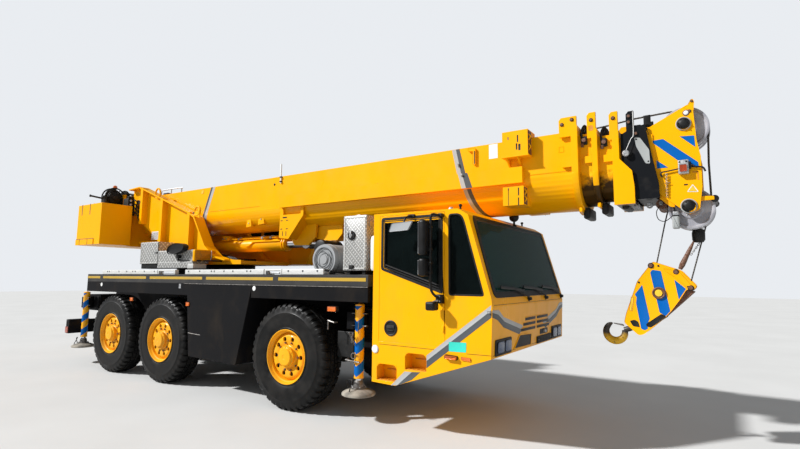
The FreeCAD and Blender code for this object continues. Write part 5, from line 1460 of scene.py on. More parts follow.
    def sheave(self, name, centre, radius, bore):
        """Two rope grooves, a dished web and a hub; depth falls off towards the hub."""
        piece = Piece(f"sheave_dressed_{name}", f"head_sheave_{name}", "sheave_grey")
        rim = []
        for groove in (-0.060, 0.060):
            rim += [(radius, groove - 0.058), (radius, groove - 0.040)]
            rim += [(radius - 0.024 * math.sin(v), groove - 0.036 * math.cos(v)) for v in np.linspace(0.15, math.pi - 0.15, 7)]
            rim += [(radius, groove + 0.040), (radius, groove + 0.058)]
        web = [(radius - 0.020, 0.120), (radius - 0.034, 0.108), (0.110, 0.104), (0.098, 0.116), (bore + 0.004, 0.1175), (bore, 0.116)]
        left = [(r, -d) for r, d in web[::-1]]
        piece.lathe(left + [(radius - 0.004, -0.120)] + rim + [(radius - 0.004, 0.120)] + web + [left[0]], centre, sheave_gloss, "Y", 72)
        angle = np.arange(6) / 6 * TURN
        for side in (-1.0, 1.0):
            spots = np.array(centre) + np.stack([0.080 * np.cos(angle), 0 * angle + side * 0.115, 0.080 * np.sin(angle)], -1)
            piece.studs(spots, "Y", 0.009, side * 0.003, zinc)
        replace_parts(piece.done(), f"head_sheave_{name}")


class CRANE_OT_hook(CraneOperator, bpy.types.Operator):
    """Hook block with its two cheeks, sheaves, bands, falls and rope end, and the forged hook"""
    bl_idname = "crane.hook"
    bl_label = "Hook block and hook"

    def execute(self, context):
        self.block()
        self.forging()
        return {"FINISHED"}

    def block(self):
        piece = Piece("hook_block_dressed", "hook_block", "yellow_paint")
        cheek = rounded([
            (4.205, 1.910), (4.450, 1.819), (4.584, 1.657), (4.560, 1.618), (4.500, 1.628), (4.430, 1.515), (4.348, 1.400),
            (4.300, 1.342), (4.091, 1.152), (4.042, 1.140), (3.906, 1.265), (3.927, 1.356), (4.049, 1.703)], 0.024)
        for _, side in SIDES:
            piece.plate(cheek, "Y", (side * 0.132, side * 0.160), yellow_paint, 0.004)
        # painted shade: the web between the cheeks is drawn orange
        web = [(4.100, 1.500), (3.985, 1.330), (3.945, 1.275), (4.045, 1.170), (4.090, 1.180), (4.170, 1.270), (4.110, 1.360)]
        piece.plate(rounded(web, 0.01), "Y", (-0.133, 0.133), tread_orange, 0.004)
        # painted shade: the guard between the cheeks is a dark brown plate
        guard = rounded([(4.470, 1.640), (4.566, 1.600), (4.308, 1.345), (4.240, 1.300), (4.200, 1.330), (4.290, 1.400)], 0.012)
        piece.plate(guard, "Y", (-0.134, 0.134), rusty_pin, 0.004)
        for low, high in (((4.150, 1.850), (4.215, 1.880)), ((4.395, 1.780), (4.430, 1.815)), ((4.490, 1.635), (4.530, 1.672)), ((4.045, 1.655), (4.080, 1.700))):
            piece.lathe([(0, -0.134), (0.017, -0.134), (0.017, 0.134), (0, 0.134)], ((low[0] + high[0]) / 2, 0.0, (low[1] + high[1]) / 2), worn_steel, "Y", 14)
        for y in (-0.095, 0.0, 0.095):
            groove = [(0.176 - 0.020 * math.sin(v), -0.030 * math.cos(v)) for v in np.linspace(0.2, math.pi - 0.2, 6)]
            profile = [(0, -0.040), (0.176, -0.040)] + groove + [(0.176, 0.040), (0, 0.040)]
            piece.lathe([(r, y + d) for r, d in profile], (4.250, 0.0, 1.580), sheave_gloss, "Y", 48)
        face = 0.160
        for band in (
            [(4.095, 1.664), (4.021, 1.563), (4.038, 1.535), (4.030, 1.470), (4.068, 1.208), (4.102, 1.197), (4.130, 1.215), (4.128, 1.262), (4.152, 1.318)],
            [(4.196, 1.822), (4.276, 1.809), (4.343, 1.404), (4.302, 1.352), (4.246, 1.384), (4.177, 1.793)],
            [(4.394, 1.722), (4.492, 1.630), (4.424, 1.522)],
        ):
            piece.pair(rounded(band, 0.008), face, 0.0015, accent_blue)
        lever = rounded([(4.300, 1.835), (4.315, 1.808), (4.400, 1.748), (4.490, 1.652), (4.520, 1.640), (4.552, 1.650), (4.448, 1.790), (4.400, 1.815)], 0.015)
        piece.pair(lever, face, 0.006, yellow_paint, 0.003)
        pins(piece, [(4.186, 1.866), (4.412, 1.799), (4.535, 1.640)], face, 0.020, 0.016)
        pins(piece, [(4.065, 1.690), (4.509, 1.654), (4.255, 1.862)], face, 0.007, 0.008, gasket_black)
        # painted shade: the notch and the hole in each cheek are near-black plates
        notch = rounded([(4.116, 1.262), (4.262, 1.372), (4.302, 1.352), (4.296, 1.328), (4.158, 1.228), (4.120, 1.236)], 0.012)
        piece.pair(notch, face, 0.002, gasket_black)
        hole = rounded([(3.962, 1.286), (4.010, 1.300), (4.042, 1.280), (4.056, 1.222), (4.030, 1.228), (3.990, 1.232)], 0.012)
        piece.pair(hole, face, 0.002, gasket_black)
        sign = rounded([(3.984, 1.540), (4.014, 1.532), (3.990, 1.385), (3.958, 1.395)], 0.006)
        piece.pair(sign, face, 0.0015, tread_orange)
        piece.pair(inset(sign, 0.006), face, 0.0025, sign_yellow)
        for _, side in SIDES:
            hub = [(0, -0.004), (0.062, -0.004), (0.062, 0.018), (0.054, 0.024), (0.046, 0.020), (0.040, 0.012), (0.036, 0.012), (0.034, 0.024), (0.018, 0.0255), (0, 0.0255)]
            middle = (4.248, side * face, 1.583)
            piece.lathe([(r, side * d) for r, d in hub[:6]] + [(0, side * 0.010)], middle, rusty_pin, "Y", 32)
            piece.lathe([(0, side * 0.008)] + [(r, side * d) for r, d in hub[6:]], middle, sign_yellow, "Y", 24)
        for path in ([(4.180, 1.700), (4.236, 1.930), (4.328, 2.335), (4.372, 2.500)], [(4.510, 1.630), (4.540, 1.728), (4.690, 2.261), (4.756, 2.400)]):
            piece.tube([(x, -0.012, z) for x, z in path], 0.007, rope_steel, 8)
        self.rope_end(piece)
        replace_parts(piece.done(), "hook_block")

    def rope_end(self, piece):
        """The dead end: a rope into a wedge socket held by its pin, with a weight and loose chain above it."""
        along = np.array([4.440 - 4.612, 0.0, 1.830 - 2.190])
        base = np.array([4.612, 0.0, 2.190])
        spots = base + np.linspace(0, 1, 9)[:, None] * along
        radius = [0.010, 0.010, 0.012, 0.020, 0.024, 0.026, 0.030, 0.032, 0.022]
        piece.tube(spots, np.array(radius) * 0.85, rusty_pin, 12, (1.0, 0.8))
        piece.lathe([(0, -0.036), (0.016, -0.036), (0.016, 0.036), (0, 0.036)], spots[7], rusty_pin, "Y", 14)
        blob = [(0, 2.100), (0.042, 2.106), (0.058, 2.130), (0.060, 2.200), (0.050, 2.236), (0.016, 2.246), (0, 2.246)]
        piece.lathe(blob, (4.622, 0.0, 0.0), gasket_black, "Z", 24)
        piece.tube([(4.622, 0.0, 2.240), (4.650, 0.0, 2.330), (4.672, 0.0, 2.420)], 0.010, rope_steel, 8)
        CRANE_OT_head.chain(self, piece, (4.645, -0.030, 2.120), (4.545, -0.040, 1.975), 9)

    def forging(self):
        """A swept hook: the section's radius swells at the bend and tapers to the tip."""
        piece = Piece("hook_dressed", "hook", "hook_forged")
        centre = np.array([3.790, 0.0, 1.150])
        t = np.linspace(0.0, 1.0, 36)
        turn = np.radians(14.0 - 268.0 * t)
        sweep = 0.096 + 0.0 * t
        path = centre + np.stack([sweep * np.cos(turn), 0 * t, sweep * np.sin(turn)], -1)
        radius = 0.038 * (0.78 + 0.32 * np.sin(math.pi * np.minimum(1.0, t * 1.15))) * np.where(t > 0.85, 1.0 - 0.75 * ((t - 0.85) / 0.15) ** 2, 1.0)
        piece.tube(path, radius, hook_paint, 16, (0.98, 0.98))
        piece.tube([(3.964, 0.0, 1.200), (3.935, 0.0, 1.192), (3.905, 0.0, 1.183), (3.880, 0.0, 1.176)], np.array([0.024, 0.029, 0.030, 0.026]), hook_paint, 16)
        latch = rounded([(3.868, 1.236), (3.884, 1.214), (3.775, 1.236), (3.772, 1.246)], 0.004)
        piece.plate(latch, "Y", (-0.012, 0.012), worn_steel, 0.002)
        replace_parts(piece.done(), "hook")


class CRANE_OT_deck(CraneOperator, bpy.types.Operator):
    """Side planks and handles, toolbox, reflector tape, lamps, air cleaner trim and small brackets"""
    bl_idname = "crane.deck"
    bl_label = "Deck and sides"

    def execute(self, context):
        self.planks()
        self.sides()
        self.cleaner()
        return {"FINISHED"}

    def planks(self):
        deck = Piece("deck_aluminium_dressed", "carrier", "chequer_aluminium")
        holes = ((-4.756, -4.690, -4.340, -4.070, -3.870, -3.790, -3.500, -3.190), (-2.220, -1.930, -1.640, -1.570, -1.340, -1.138, -0.830, -0.750), (0.000, 0.264, 0.520))
        for (rear, front), spots in zip(((-4.940, -3.100), (-2.310, -0.483), (-0.119, 0.620)), holes):
            for _, side in SIDES:
                low, high = mirrored(side, 1.150, 1.268)
                deck.box((rear, low, 1.751), (front, high, 1.822), plank_aluminium, 0.005)
                deck.box((rear + 0.02, low + 0.03, 1.820), (front - 0.02, high - 0.03, 1.8235), chequer_aluminium, 0.001)
            # painted shade: the holes along the plank edges are near-black discs in zinc rings
            pins(deck, [(x, 1.797) for x in spots], 1.268, 0.011, 0.003, gasket_black, zinc)
        for rear, front in ((-3.080, -2.590), (-0.460, -0.130)):
            for _, side in SIDES:
                low, high = mirrored(side, 1.200, 1.268)
                deck.box((rear, low, 1.800), (front, high, 1.822), plank_aluminium, 0.005)
                for x in (rear, front - 0.022):
                    deck.box((x, low, 1.751), (x + 0.022, high, 1.804), plank_aluminium, 0.004)
                deck.box((rear + 0.10, low + 0.015, 1.760), (front - 0.06, high - 0.015, 1.778), zinc, 0.005)
        deck.box((0.838, -1.150, 1.800), (1.202, -0.600, 2.487), chequer_aluminium, 0.010, 0.012, "Y")
        deck.frame(rounded([(0.856, 1.822), (1.184, 1.822), (1.184, 2.468), (0.856, 2.468)], 0.012), 0.014, "Y", (-1.148, -1.156), plank_aluminium)
        for x in (0.880, 1.120):
            deck.box((x, -1.120, 1.749), (x + 0.050, -0.640, 1.803), gasket_black, 0.004)
        latch = [(0, -0.004), (0.058, -0.004), (0.058, 0.010), (0.050, 0.016), (0, 0.016)]
        deck.lathe([(r, -d) for r, d in latch], (0.975, -1.152, 2.238), gasket_black, "Y", 32)
        deck.lathe([(0, 0.010), (0.022, 0.010), (0.022, -0.020), (0, -0.022)], (0.975, -1.160, 2.240), zinc, "Y", 20)
        deck.box((0.965, -1.186, 2.205), (0.985, -1.166, 2.285), zinc, 0.004)
        deck.box((0.945, -1.172, 1.822), (1.015, -1.148, 1.872), gasket_black, 0.008, 0.012, "Y")
        deck.tube(smooth_path([(0.880, -0.950, 2.480), (0.885, -0.950, 2.512), (0.955, -0.950, 2.512), (0.960, -0.950, 2.480)], 5), 0.008, zinc, 8)
        for level in (1.95, 2.35):
            deck.box((1.200, -1.10, level), (1.212, -1.04, level + 0.07), zinc, 0.003)
        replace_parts(deck.done(), "deck_aluminium")

    def sides(self):
        side_trim = Piece("side_trim", "carrier", "deck_grey")
        for rear, front in ((-5.488, -5.004), (-4.891, -3.426), (-3.312, -1.858), (-1.759, -0.286), (-0.182, 1.297)):
            side_trim.pair([(rear, 1.671), (front, 1.671), (front, 1.713), (rear, 1.713)], 1.270, 0.0015, reflector_yellow)
        side_trim.pair([(-2.320, 1.602), (1.328, 1.600), (1.328, 1.610), (-2.320, 1.610)], 1.270, 0.005, worn_steel, 0.002)
        for x, z, wide in ((-3.830, 1.318, 0.045), (-2.183, 1.289, 0.040), (0.783, 1.332, 0.066)):
            lamp = rounded([(x - wide, z - 0.028), (x + wide, z - 0.028), (x + wide, z + 0.028), (x - wide, z + 0.028)], 0.008)
            side_trim.pair(lamp, 1.262, 0.020, lamp_orange, 0.005, 0.030)
            side_trim.pair(inset(lamp, -0.006), 1.262, 0.008, gasket_black, 0.003, 0.032)
        for x in (-4.930, -0.660):
            for _, side in SIDES:
                side_trim.lathe([(0, side * -0.03), (0.038, side * -0.03), (0.038, side * 0.004), (0.030, side * 0.012), (0, side * 0.014)], (x, side * 1.262, 1.556), sign_white, "Y", 24)
            side_trim.pair(rounded([(x + 0.046, 1.525), (x + 0.115, 1.525), (x + 0.115, 1.588), (x + 0.046, 1.588)], 0.008), 1.262, 0.006, sign_yellow, 0.002, 0.03)
        side_trim.pair([(-2.450, 1.530), (-2.395, 1.530), (-2.395, 1.600), (-2.450, 1.600)], 1.262, 0.010, zinc, 0.003)
        for start, end in (((-2.141, -1.262, 0.850), (-1.835, -1.262, 0.836)), ((0.705, -1.255, 1.190), (0.812, -1.255, 1.168))):
            for _, side in SIDES:
                bar = np.array([start, end]) * (1.0, -side, 1.0)
                side_trim.tube(bar, 0.010, worn_steel, 8)
                for spot in bar:
                    side_trim.tube([spot, spot - np.array([0.0, side * 0.05, 0.0])], 0.008, worn_steel, 8)
        for _, side in SIDES:
            side_trim.tube([(0.712, side * 1.255, 1.195), (0.712, side * 1.255, 1.080)], 0.008, worn_steel, 8)
            CRANE_OT_head.chain(self, side_trim, (0.947, side * 1.140, 1.045), (1.050, side * 1.140, 0.900), 12)
            CRANE_OT_head.chain(self, side_trim, (1.000, side * 1.130, 1.040), (0.985, side * 1.130, 0.930), 9)
            ring = np.linspace(0, TURN, 13)
            side_trim.tube([(1.010 + 0.034 * math.cos(v), side * 1.120, 0.770 + 0.034 * math.sin(v)) for v in ring], 0.007, worn_steel, 6)
            side_trim.tube([(0.890, side * 1.120, 0.715), (1.105, side * 1.120, 0.700)], 0.010, worn_steel, 8)
            side_trim.tube([(0.890, side * 1.120, 0.715), (0.890, side * 0.90, 0.760)], 0.010, worn_steel, 8)
            # a guessed black flap between the front wheel and the cab; its black also stands for the shade there
            low, high = mirrored(side, 1.060, 1.085)
            side_trim.box((0.725, low, 0.740), (0.985, high, 1.050), gasket_black, 0.006)
            low, high = mirrored(side, 0.860, 1.245)
            side_trim.box((-6.300, low, 0.835), (-6.170, high, 0.842), gasket_black, 0.003)
            low, high = mirrored(side, 1.245, 1.262)
            side_trim.box((-6.290, low, 0.580), (-6.180, high, 0.700), lamp_red, 0.006)
            for number, inner in enumerate((0.780, 0.930, 1.080)):
                low, high = mirrored(side, inner, inner + 0.130)
                side_trim.box((-6.298, low, 0.630), (-6.276, high, 0.770), (lamp_clear, lamp_orange, lamp_red)[number], 0.008, 0.020, "X")
        side_trim.box((-6.292, -0.260, 0.640), (-6.276, 0.260, 0.750), sign_yellow, 0.004)
        side_trim.done()

    def cleaner(self):
        """Bands, a snorkel elbow and clips on the drum; the disc behind it is the black silencer end."""
        trim = Piece("cleaner_trim", "carrier", "cleaner_grey")
        centre = (0.480, 0.0, 1.950)
        for y in (-1.040, -0.620):
            trim.lathe([(0.196, y), (0.204, y), (0.206, y + 0.010), (0.204, y + 0.020), (0.196, y + 0.020), (0.196, y)], centre, zinc, "Y", 48)
        for radius, depth in ((0.098, -1.1305), (0.152, -1.1215)):
            trim.lathe([(radius - 0.006, depth), (radius, depth - 0.006), (radius + 0.006, depth), (radius, depth + 0.006), (radius - 0.006, depth)], centre, stripe_dark, "Y", 48)
        trim.lathe([(0, -0.510), (0.095, -0.510), (0.115, -0.500), (0.122, -0.480), (0.122, -0.100), (0, -0.100)], (-0.160, 0.0, 2.155), gasket_black, "Y", 48)
        trim.box((-0.240, -0.440, 1.749), (-0.080, -0.160, 2.060), axle_black, 0.010)
        trim.tube(smooth_path([(0.560, -0.480, 2.080), (0.640, -0.420, 2.260), (0.720, -0.300, 2.330), (0.900, -0.180, 2.330)], 6), 0.075, gasket_black, 20)
        trim.tube([(0.900, -0.180, 2.330), (0.900, -0.180, 2.440)], 0.085, mirror_black, 20)
        trim.box((0.380, -1.050, 1.749), (0.580, -0.560, 1.775), deck_grey, 0.006)
        trim.tube(smooth_path([(0.620, -1.240, 1.812), (0.660, -1.220, 1.800), (0.700, -1.150, 1.790), (0.740, -1.000, 1.775)], 5), 0.012, gasket_black, 8)
        for x, y, size in ((-0.65, 0.70, 0.12), (0.10, 0.75, 0.16), (-1.20, -0.60, 0.10)):
            trim.box((x - size, y - size, 1.749), (x + size, y + size, 1.756), plank_aluminium, 0.003)
            trim.studs([(x + a * size * 0.8, y + b * size * 0.8, 1.756) for a in (-1, 1) for b in (-1, 1)], "Z", 0.010, 0.006, zinc)
        trim.done()


class CRANE_OT_jacks(CraneOperator, bpy.types.Operator):
    """Jack tubes with chevron bands, caps and clamps, and the domed feet with their handles"""
    bl_idname = "crane.jacks"
    bl_label = "Jacks"

    def execute(self, context):
        for label, x in (("front", 1.030), ("rear", -6.000)):
            for side_name, side in SIDES:
                self.tube(f"{label}_{side_name}", x, side * 1.030, side)
                self.foot(f"{label}_{side_name}", x, side * 1.030, side)
        return {"FINISHED"}

    def tube(self, tag, x, y, side):
        """The beam, its head and the tube; a band's edge stands at z + 0.041 * |angle from the outboard side|."""
        piece = Piece(f"outrigger_dressed_{tag}", f"outrigger_{tag}", "jack_stripes")
        middle = x + side * 0.115
        low, high = mirrored(side, -0.900, 0.950)
        piece.box((middle - 0.095, low, 1.060), (middle + 0.095, high, 1.300), black_paint, 0.008, 0.012, "Y")
        low, high = mirrored(side, 0.945, 1.030)
        ends = sorted((middle - side * -0.095, x - side * 0.057))
        piece.box((ends[0], low, 1.070), (ends[1], high, 1.290), black_paint, 0.010)
        centre = (x, y, 0.0)
        piece.lathe([
            (0.0550, 0.497), (0.0600, 0.499), (0.0610, 0.512), (0.0575, 0.520), (0.0573, 1.372), (0.0595, 1.378), (0.0585, 1.388), (0.048, 1.394),
            (0.030, 1.394), (0.026, 1.402), (0, 1.402), (0, 1.370), (0.0550, 1.370), (0.0550, 0.497)], centre, jack_yellow, "Z", 40)
        angle = np.linspace(-math.pi, math.pi, 41)
        around = angle + side * math.pi / 2
        for low, high in ((0.517, 0.644), (0.785, 0.916), (1.056, 1.179), (1.319, 1.400)):
            climb = 0.041 * np.abs(angle)
            level = [np.minimum(edge + climb, 1.369) for edge in (low, high)]
            rings = [(0.0565, level[0]), (0.0585, level[0]), (0.0585, level[1]), (0.0565, level[1])]
            grid = np.stack([np.stack([x + r * np.cos(around), y + r * np.sin(around), z], -1) for r, z in rings])
            piece.sheet(grid, accent_blue, wrap_rows=True)
        for level in (1.120, 1.270):
            for turn in (-1.0, 1.0):
                piece.box((x + turn * 0.085 - 0.030, y - 0.020, level), (x + turn * 0.085 + 0.030, y + 0.020, level + 0.012), worn_steel, 0.003)
        strap = [(x + 0.030, y + side * 0.056, 1.190), (x + 0.034, y + side * 0.068, 1.160), (x + 0.030, y + side * 0.066, 1.060), (x + 0.028, y + side * 0.056, 1.040)]
        piece.tube(smooth_path(strap, 5), 0.005, worn_steel, 8)
        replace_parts(piece.done(), f"outrigger_{tag}")

    def foot(self, tag, x, y, side):
        piece = Piece(f"jack_foot_dressed_{tag}", f"jack_foot_{tag}", "foot_steel")
        centre = (x, y, 0.0)
        piece.lathe([
            (0, 0.301), (0.196, 0.301), (0.206, 0.308), (0.207, 0.322), (0.200, 0.334), (0.172, 0.350), (0.132, 0.366), (0.108, 0.372),
            (0.102, 0.378), (0, 0.378)], centre, dusty_plate, "Z", 48)
        piece.lathe([
            (0, 0.374), (0.094, 0.374), (0.096, 0.386), (0.082, 0.398), (0.066, 0.404), (0.062, 0.430), (0.056, 0.456), (0.046, 0.470),
            (0.043, 0.480), (0, 0.480)], centre, worn_steel, "Z", 36)
        piece.lathe([(0, 0.470), (0.0440, 0.470), (0.0440, 1.286), (0, 1.286)], centre, chrome_rod, "Z", 28)
        for index in range(6):
            angle = index / 6 * TURN + 0.3
            piece.studs([(x + 0.088 * math.cos(angle), y + 0.088 * math.sin(angle), 0.396)], "Z", 0.008, 0.010, zinc)
        handle = [(x - 0.115, y + side * 0.060, 0.368), (x - 0.110, y + side * 0.085, 0.470), (x - 0.020, y + side * 0.105, 0.486), (x - 0.012, y + side * 0.150, 0.400), (x - 0.010, y + side * 0.165, 0.362)]
        piece.tube(smooth_path(handle, 8), 0.007, gasket_black, 8)
        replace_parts(piece.done(), f"jack_foot_{tag}")


class CRANE_OT_turntable(CraneOperator, bpy.types.Operator):
    """Mirror, tray, hoses, reel, winch rope, beacon, rings, rails and grille of the superstructure"""
    bl_idname = "crane.turntable"
    bl_label = "Turntable"

    def execute(self, context):
        self.cheeks()
        self.boxes()
        self.rear()
        self.lift()
        self.winch()
        return {"FINISHED"}

    def cheeks(self):
        trim = Piece("cheek_trim", "turntable", "yellow_paint")
        slats = rounded([(-4.640, 2.440), (-4.290, 2.440), (-4.290, 2.600), (-4.640, 2.600)], 0.008)
        trim.plate(slats, "Y", (-0.528, -0.536), sign_white, 0.002)
        for index in range(6):
            level = 2.456 + 0.023 * index
            trim.plate(rounded([(-4.620, level), (-4.310, level), (-4.310, level + 0.009), (-4.620, level + 0.009)], 0.003), "Y", (-0.530, -0.541), zinc, 0.002)
        pins(trim, [(-5.190, 3.230)], 0.530, 0.058, 0.034, gasket_black, yellow_paint)
        pins(trim, [(-4.985, 3.206)], 0.560, 0.042, 0.082, gasket_black, yellow_paint)
        turn = np.linspace(0, TURN, 21)
        for _, side in SIDES:
            ring = [(-4.400 + 0.082 * math.cos(v), side * 0.600, 3.340 + 0.098 * math.sin(v)) for v in turn]
            trim.tube(ring, 0.017, yellow_paint, 10)
            lug = [(-3.075 + 0.078 * math.cos(v), side * 0.600, 2.900 + 0.078 * math.sin(v)) for v in turn]
            trim.tube(lug, 0.020, yellow_paint, 10)
            near, far = mirrored(side, 0.588, 0.612)
            trim.plate(rounded([(-3.180, 2.820), (-2.985, 2.760), (-3.000, 2.870), (-3.120, 2.905), (-3.185, 2.880)], 0.02), "Y", (near, far), yellow_paint, 0.004)
        pins(trim, [(-3.160, 2.870)], 0.612, 0.018, 0.012)
        tray = [(-0.955, 2.172), (-0.535, 2.172), (-0.550, 2.080), (-0.660, 2.000), (-0.955, 1.965)]
        trim.plate(rounded(tray, 0.03), "X", (-2.612, -2.560), yellow_paint, 0.006)
        # painted shade: the inside of the tray is drawn orange
        trim.plate(inset(rounded(tray, 0.03), 0.018), "X", (-2.580, -2.557), tread_orange, 0.002)
        trim.tube(smooth_path([(-2.550, -0.640, 2.160), (-2.520, -0.655, 2.090), (-2.550, -0.650, 1.990)], 6), 0.006, sign_white, 8)
        for x in (-4.750, -4.200, -3.600, -2.900, -2.200):
            trim.studs([(x, side * 0.530, 2.020) for side in (-1.0, 1.0)], "Y", 0.012, 0.0, zinc)
        for x in np.linspace(-4.150, -2.300, 12):
            trim.studs([(x, -0.440, 1.989), (x, 0.440, 1.989)], "Z", 0.014, 0.012, zinc)
        bolts = np.arange(36) / 36 * TURN
        spots = np.stack([-3.250 + 0.664 * np.cos(bolts), 0.664 * np.sin(bolts), 0 * bolts + 1.9295], -1)
        trim.studs(spots, "Z", 0.014, -0.016, zinc)
        trim.done()

    def boxes(self):
        trim = Piece("box_trim", "turntable", "chequer_aluminium")
        face = -0.950
        for outline in ([(-4.235, 1.950), (-3.675, 1.950), (-3.675, 2.328), (-4.235, 2.328)], [(-3.648, 1.950), (-2.622, 1.950), (-2.622, 2.158), (-3.648, 2.158)]):
            trim.frame(rounded(outline, 0.010), 0.012, "Y", (face + 0.002, face - 0.004), plank_aluminium)
        trim.plate([(-3.665, 1.942), (-3.657, 1.942), (-3.657, 2.338), (-3.665, 2.338)], "Y", (face + 0.004, face - 0.002), gasket_black, 0.0008)
        for x in (-3.705, -3.100):
            trim.box((x - 0.040, face - 0.016, 2.128), (x + 0.030, face + 0.004, 2.158), gasket_black, 0.006, 0.010, "Y")
            trim.lathe([(0, 0.004), (0.012, 0.004), (0.012, -0.022), (0, -0.024)], (x + 0.010, face, 2.143), zinc, "Y", 14)
        trim.box((-2.744, -0.955, 1.851), (-2.584, -0.700, 1.930), plank_aluminium, 0.005)
        trim.box((-4.230, -0.930, 1.855), (-2.760, -0.700, 1.942), mirror_black, 0.010)
        mirror = [(-3.205, 2.150), (-3.185, 2.112), (-3.110, 2.092), (-3.030, 2.092), (-2.850, 2.122), (-2.760, 2.150), (-2.715, 2.196), (-2.725, 2.236), (-2.790, 2.270), (-2.930, 2.284), (-3.090, 2.260), (-3.190, 2.210)]
        trim.plate(rounded(mirror, 0.05), "Y", (-0.985, -1.045), mirror_black, 0.022)
        trim.plate(inset(rounded(mirror, 0.05), 0.020), "Y", (-0.978, -0.986), chrome_rod, 0.002)
        arm = smooth_path([(-2.960, -1.010, 2.100), (-2.960, -0.990, 2.020), (-2.950, -0.975, 1.995), (-2.560, -0.900, 1.985), (-2.400, -0.640, 1.985), (-2.400, -0.540, 1.985)], 6)
        trim.tube(arm, 0.012, gasket_black, 10)
        trim.box((-2.990, -1.015, 2.025), (-2.925, -0.965, 2.085), gasket_black, 0.008)
        trim.done()

    def rear(self):
        """Slots and lip seams of the counterweight, rails beside the boom, pump block and valve; the slots are dark
        plates, painted shade.
        """
        trim = Piece("rear_trim", "turntable", "yellow_paint")
        # painted shade: the slots are flat dark plates
        trim.bars([(-6.000, 2.930, -5.974, 3.146), (-5.674, 2.930, -5.648, 3.146)], 1.250, rusty_pin, 0.0015)
        trim.bars([(-5.984, 2.332, -5.970, 2.438), (-5.664, 2.332, -5.650, 2.438)], 1.265, gasket_black)
        trim.bars([(-6.148, 2.440, -5.432, 2.454)], 1.250, rusty_pin, 0.002)
        trim.box((-5.440, -1.245, 2.440), (-5.422, -0.680, 2.458), rusty_pin, 0.002)
        trim.studs([(-5.428, -1.127, 2.400), (-5.428, -0.30, 2.400)], "X", 0.014, 0.010, gasket_black)
        for side in (-1.0, 1.0):
            for x in (-5.95, -5.62):
                ring = [(x + 0.045 * math.cos(v), side * 1.05, 3.150 + 0.045 * math.sin(v)) for v in np.linspace(-0.3, math.pi + 0.3, 12)]
                trim.tube(ring, 0.012, gasket_black, 8)
        block_low, block_high = (-5.420, -0.740, 2.950), (-5.230, -0.600, 3.300)
        trim.box(block_low, block_high, gasket_black, 0.012)
        for z in (3.010, 3.090, 3.170, 3.250):
            trim.lathe([(0, -0.004), (0.024, -0.004), (0.024, 0.022), (0.016, 0.028), (0, 0.028)], (-5.232, -0.690, z), zinc if z > 3.1 else gasket_black, "X", 14)
            hose = [(-5.232, -0.640, z), (-5.150, -0.640, z + 0.010), (-5.110, -0.600, z - 0.060), (-5.120, -0.560, z - 0.160)]
            trim.tube(smooth_path(hose, 5), 0.012, gasket_black, 8)
        trim.box((-5.300, -0.730, 3.290), (-5.240, -0.610, 3.340), gasket_black, 0.010)
        trim.studs([(-5.270, -0.670, 3.340)], "Z", 0.020, 0.030, zinc)
        trim.done()
        rails = Piece("boom_rails", "boom_1", "yellow_paint")
        for _, side in SIDES:
            path = [(-4.790, side * 0.300, 3.370), (-4.790, side * 0.300, 3.450), (-4.760, side * 0.300, 3.478), (-4.120, side * 0.300, 3.478), (-4.090, side * 0.300, 3.450), (-4.090, side * 0.300, 3.370)]
            rails.tube(smooth_path(path, 5), 0.011, zinc, 8)
            rails.tube([(-4.440, side * 0.300, 3.365), (-4.440, side * 0.300, 3.478)], 0.010, zinc, 8)
        rails.box((-4.720, -0.310, 3.362), (-4.560, -0.230, 3.420), gasket_black, 0.012)
        rails.done()

    def lift(self):
        """Valve block, pipes and gland of the lift cylinder, and the hoses that feed it."""
        barrel = Piece("lift_trim", "lift_barrel", "yellow_paint")
        high = 2.280
        for x, wide in ((-3.960, 0.120), (-1.420, 0.124), (-1.370, 0.118)):
            barrel.lathe([(0.1095, x), (wide, x), (wide + 0.002, x + 0.012), (wide, x + 0.024), (0.1095, x + 0.024), (0.1095, x)], (0.0, 0.0, high), yellow_paint, "X", 40)
        barrel.lathe([(0.0725, -1.352), (0.100, -1.352), (0.100, -1.338), (0.092, -1.330), (0.0725, -1.330), (0.0725, -1.352)], (0.0, 0.0, high), yellow_paint, "X", 36)
        barrel.box((-1.500, -0.075, 2.372), (-1.390, 0.075, 2.432), yellow_paint, 0.008)
        barrel.box((-3.000, -0.110, 2.375), (-2.820, 0.060, 2.470), yellow_paint, 0.010)
        for y, z in ((-0.060, 2.405), (-0.020, 2.425)):
            barrel.tube([(-2.820, y, z), (-2.000, y, z), (-1.500, y, z)], 0.014, yellow_paint, 10)
            for x in (-2.560, -1.930, -1.710):
                barrel.box((x - 0.020, y - 0.024, z - 0.020), (x + 0.020, y + 0.024, z + 0.022), zinc, 0.005)
        barrel.tube(smooth_path([(-2.290, -0.118, 2.262), (-2.200, -0.122, 2.276), (-2.110, -0.118, 2.330), (-2.050, -0.116, 2.336), (-1.420, -0.116, 2.336)], 6), 0.013, yellow_paint, 10)
        barrel.studs([(-2.960, -0.110, 2.420), (-2.870, -0.110, 2.420)], "Y", 0.014, -0.014, zinc)
        barrel.done()
        hoses = Piece("lift_hoses", "turntable", "yellow_paint")
        for shift in (0.0, 0.045, 0.090):
            path = [(-3.300, -0.150 - shift, 2.020), (-3.050, -0.180 - shift, 2.130), (-2.800, -0.200 - shift, 2.110), (-2.500, -0.210 - shift, 2.060), (-2.350, -0.200 - shift, 1.990)]
            hoses.tube(smooth_path(path, 6), 0.019, gasket_black, 10)
        hoses.box((-2.700, -0.330, 1.985), (-2.480, 0.300, 2.050), gasket_black, 0.020)
        hoses.box((-3.360, 0.532, 1.990), (-2.740, 0.640, 2.640), gasket_black, 0.016)
        hoses.lathe([(0, 1.985), (0.110, 1.985), (0.110, 2.080), (0.080, 2.120), (0, 2.120)], (-3.250, 0.0, 0.0), worn_steel, "Z", 28)
        hoses.done()

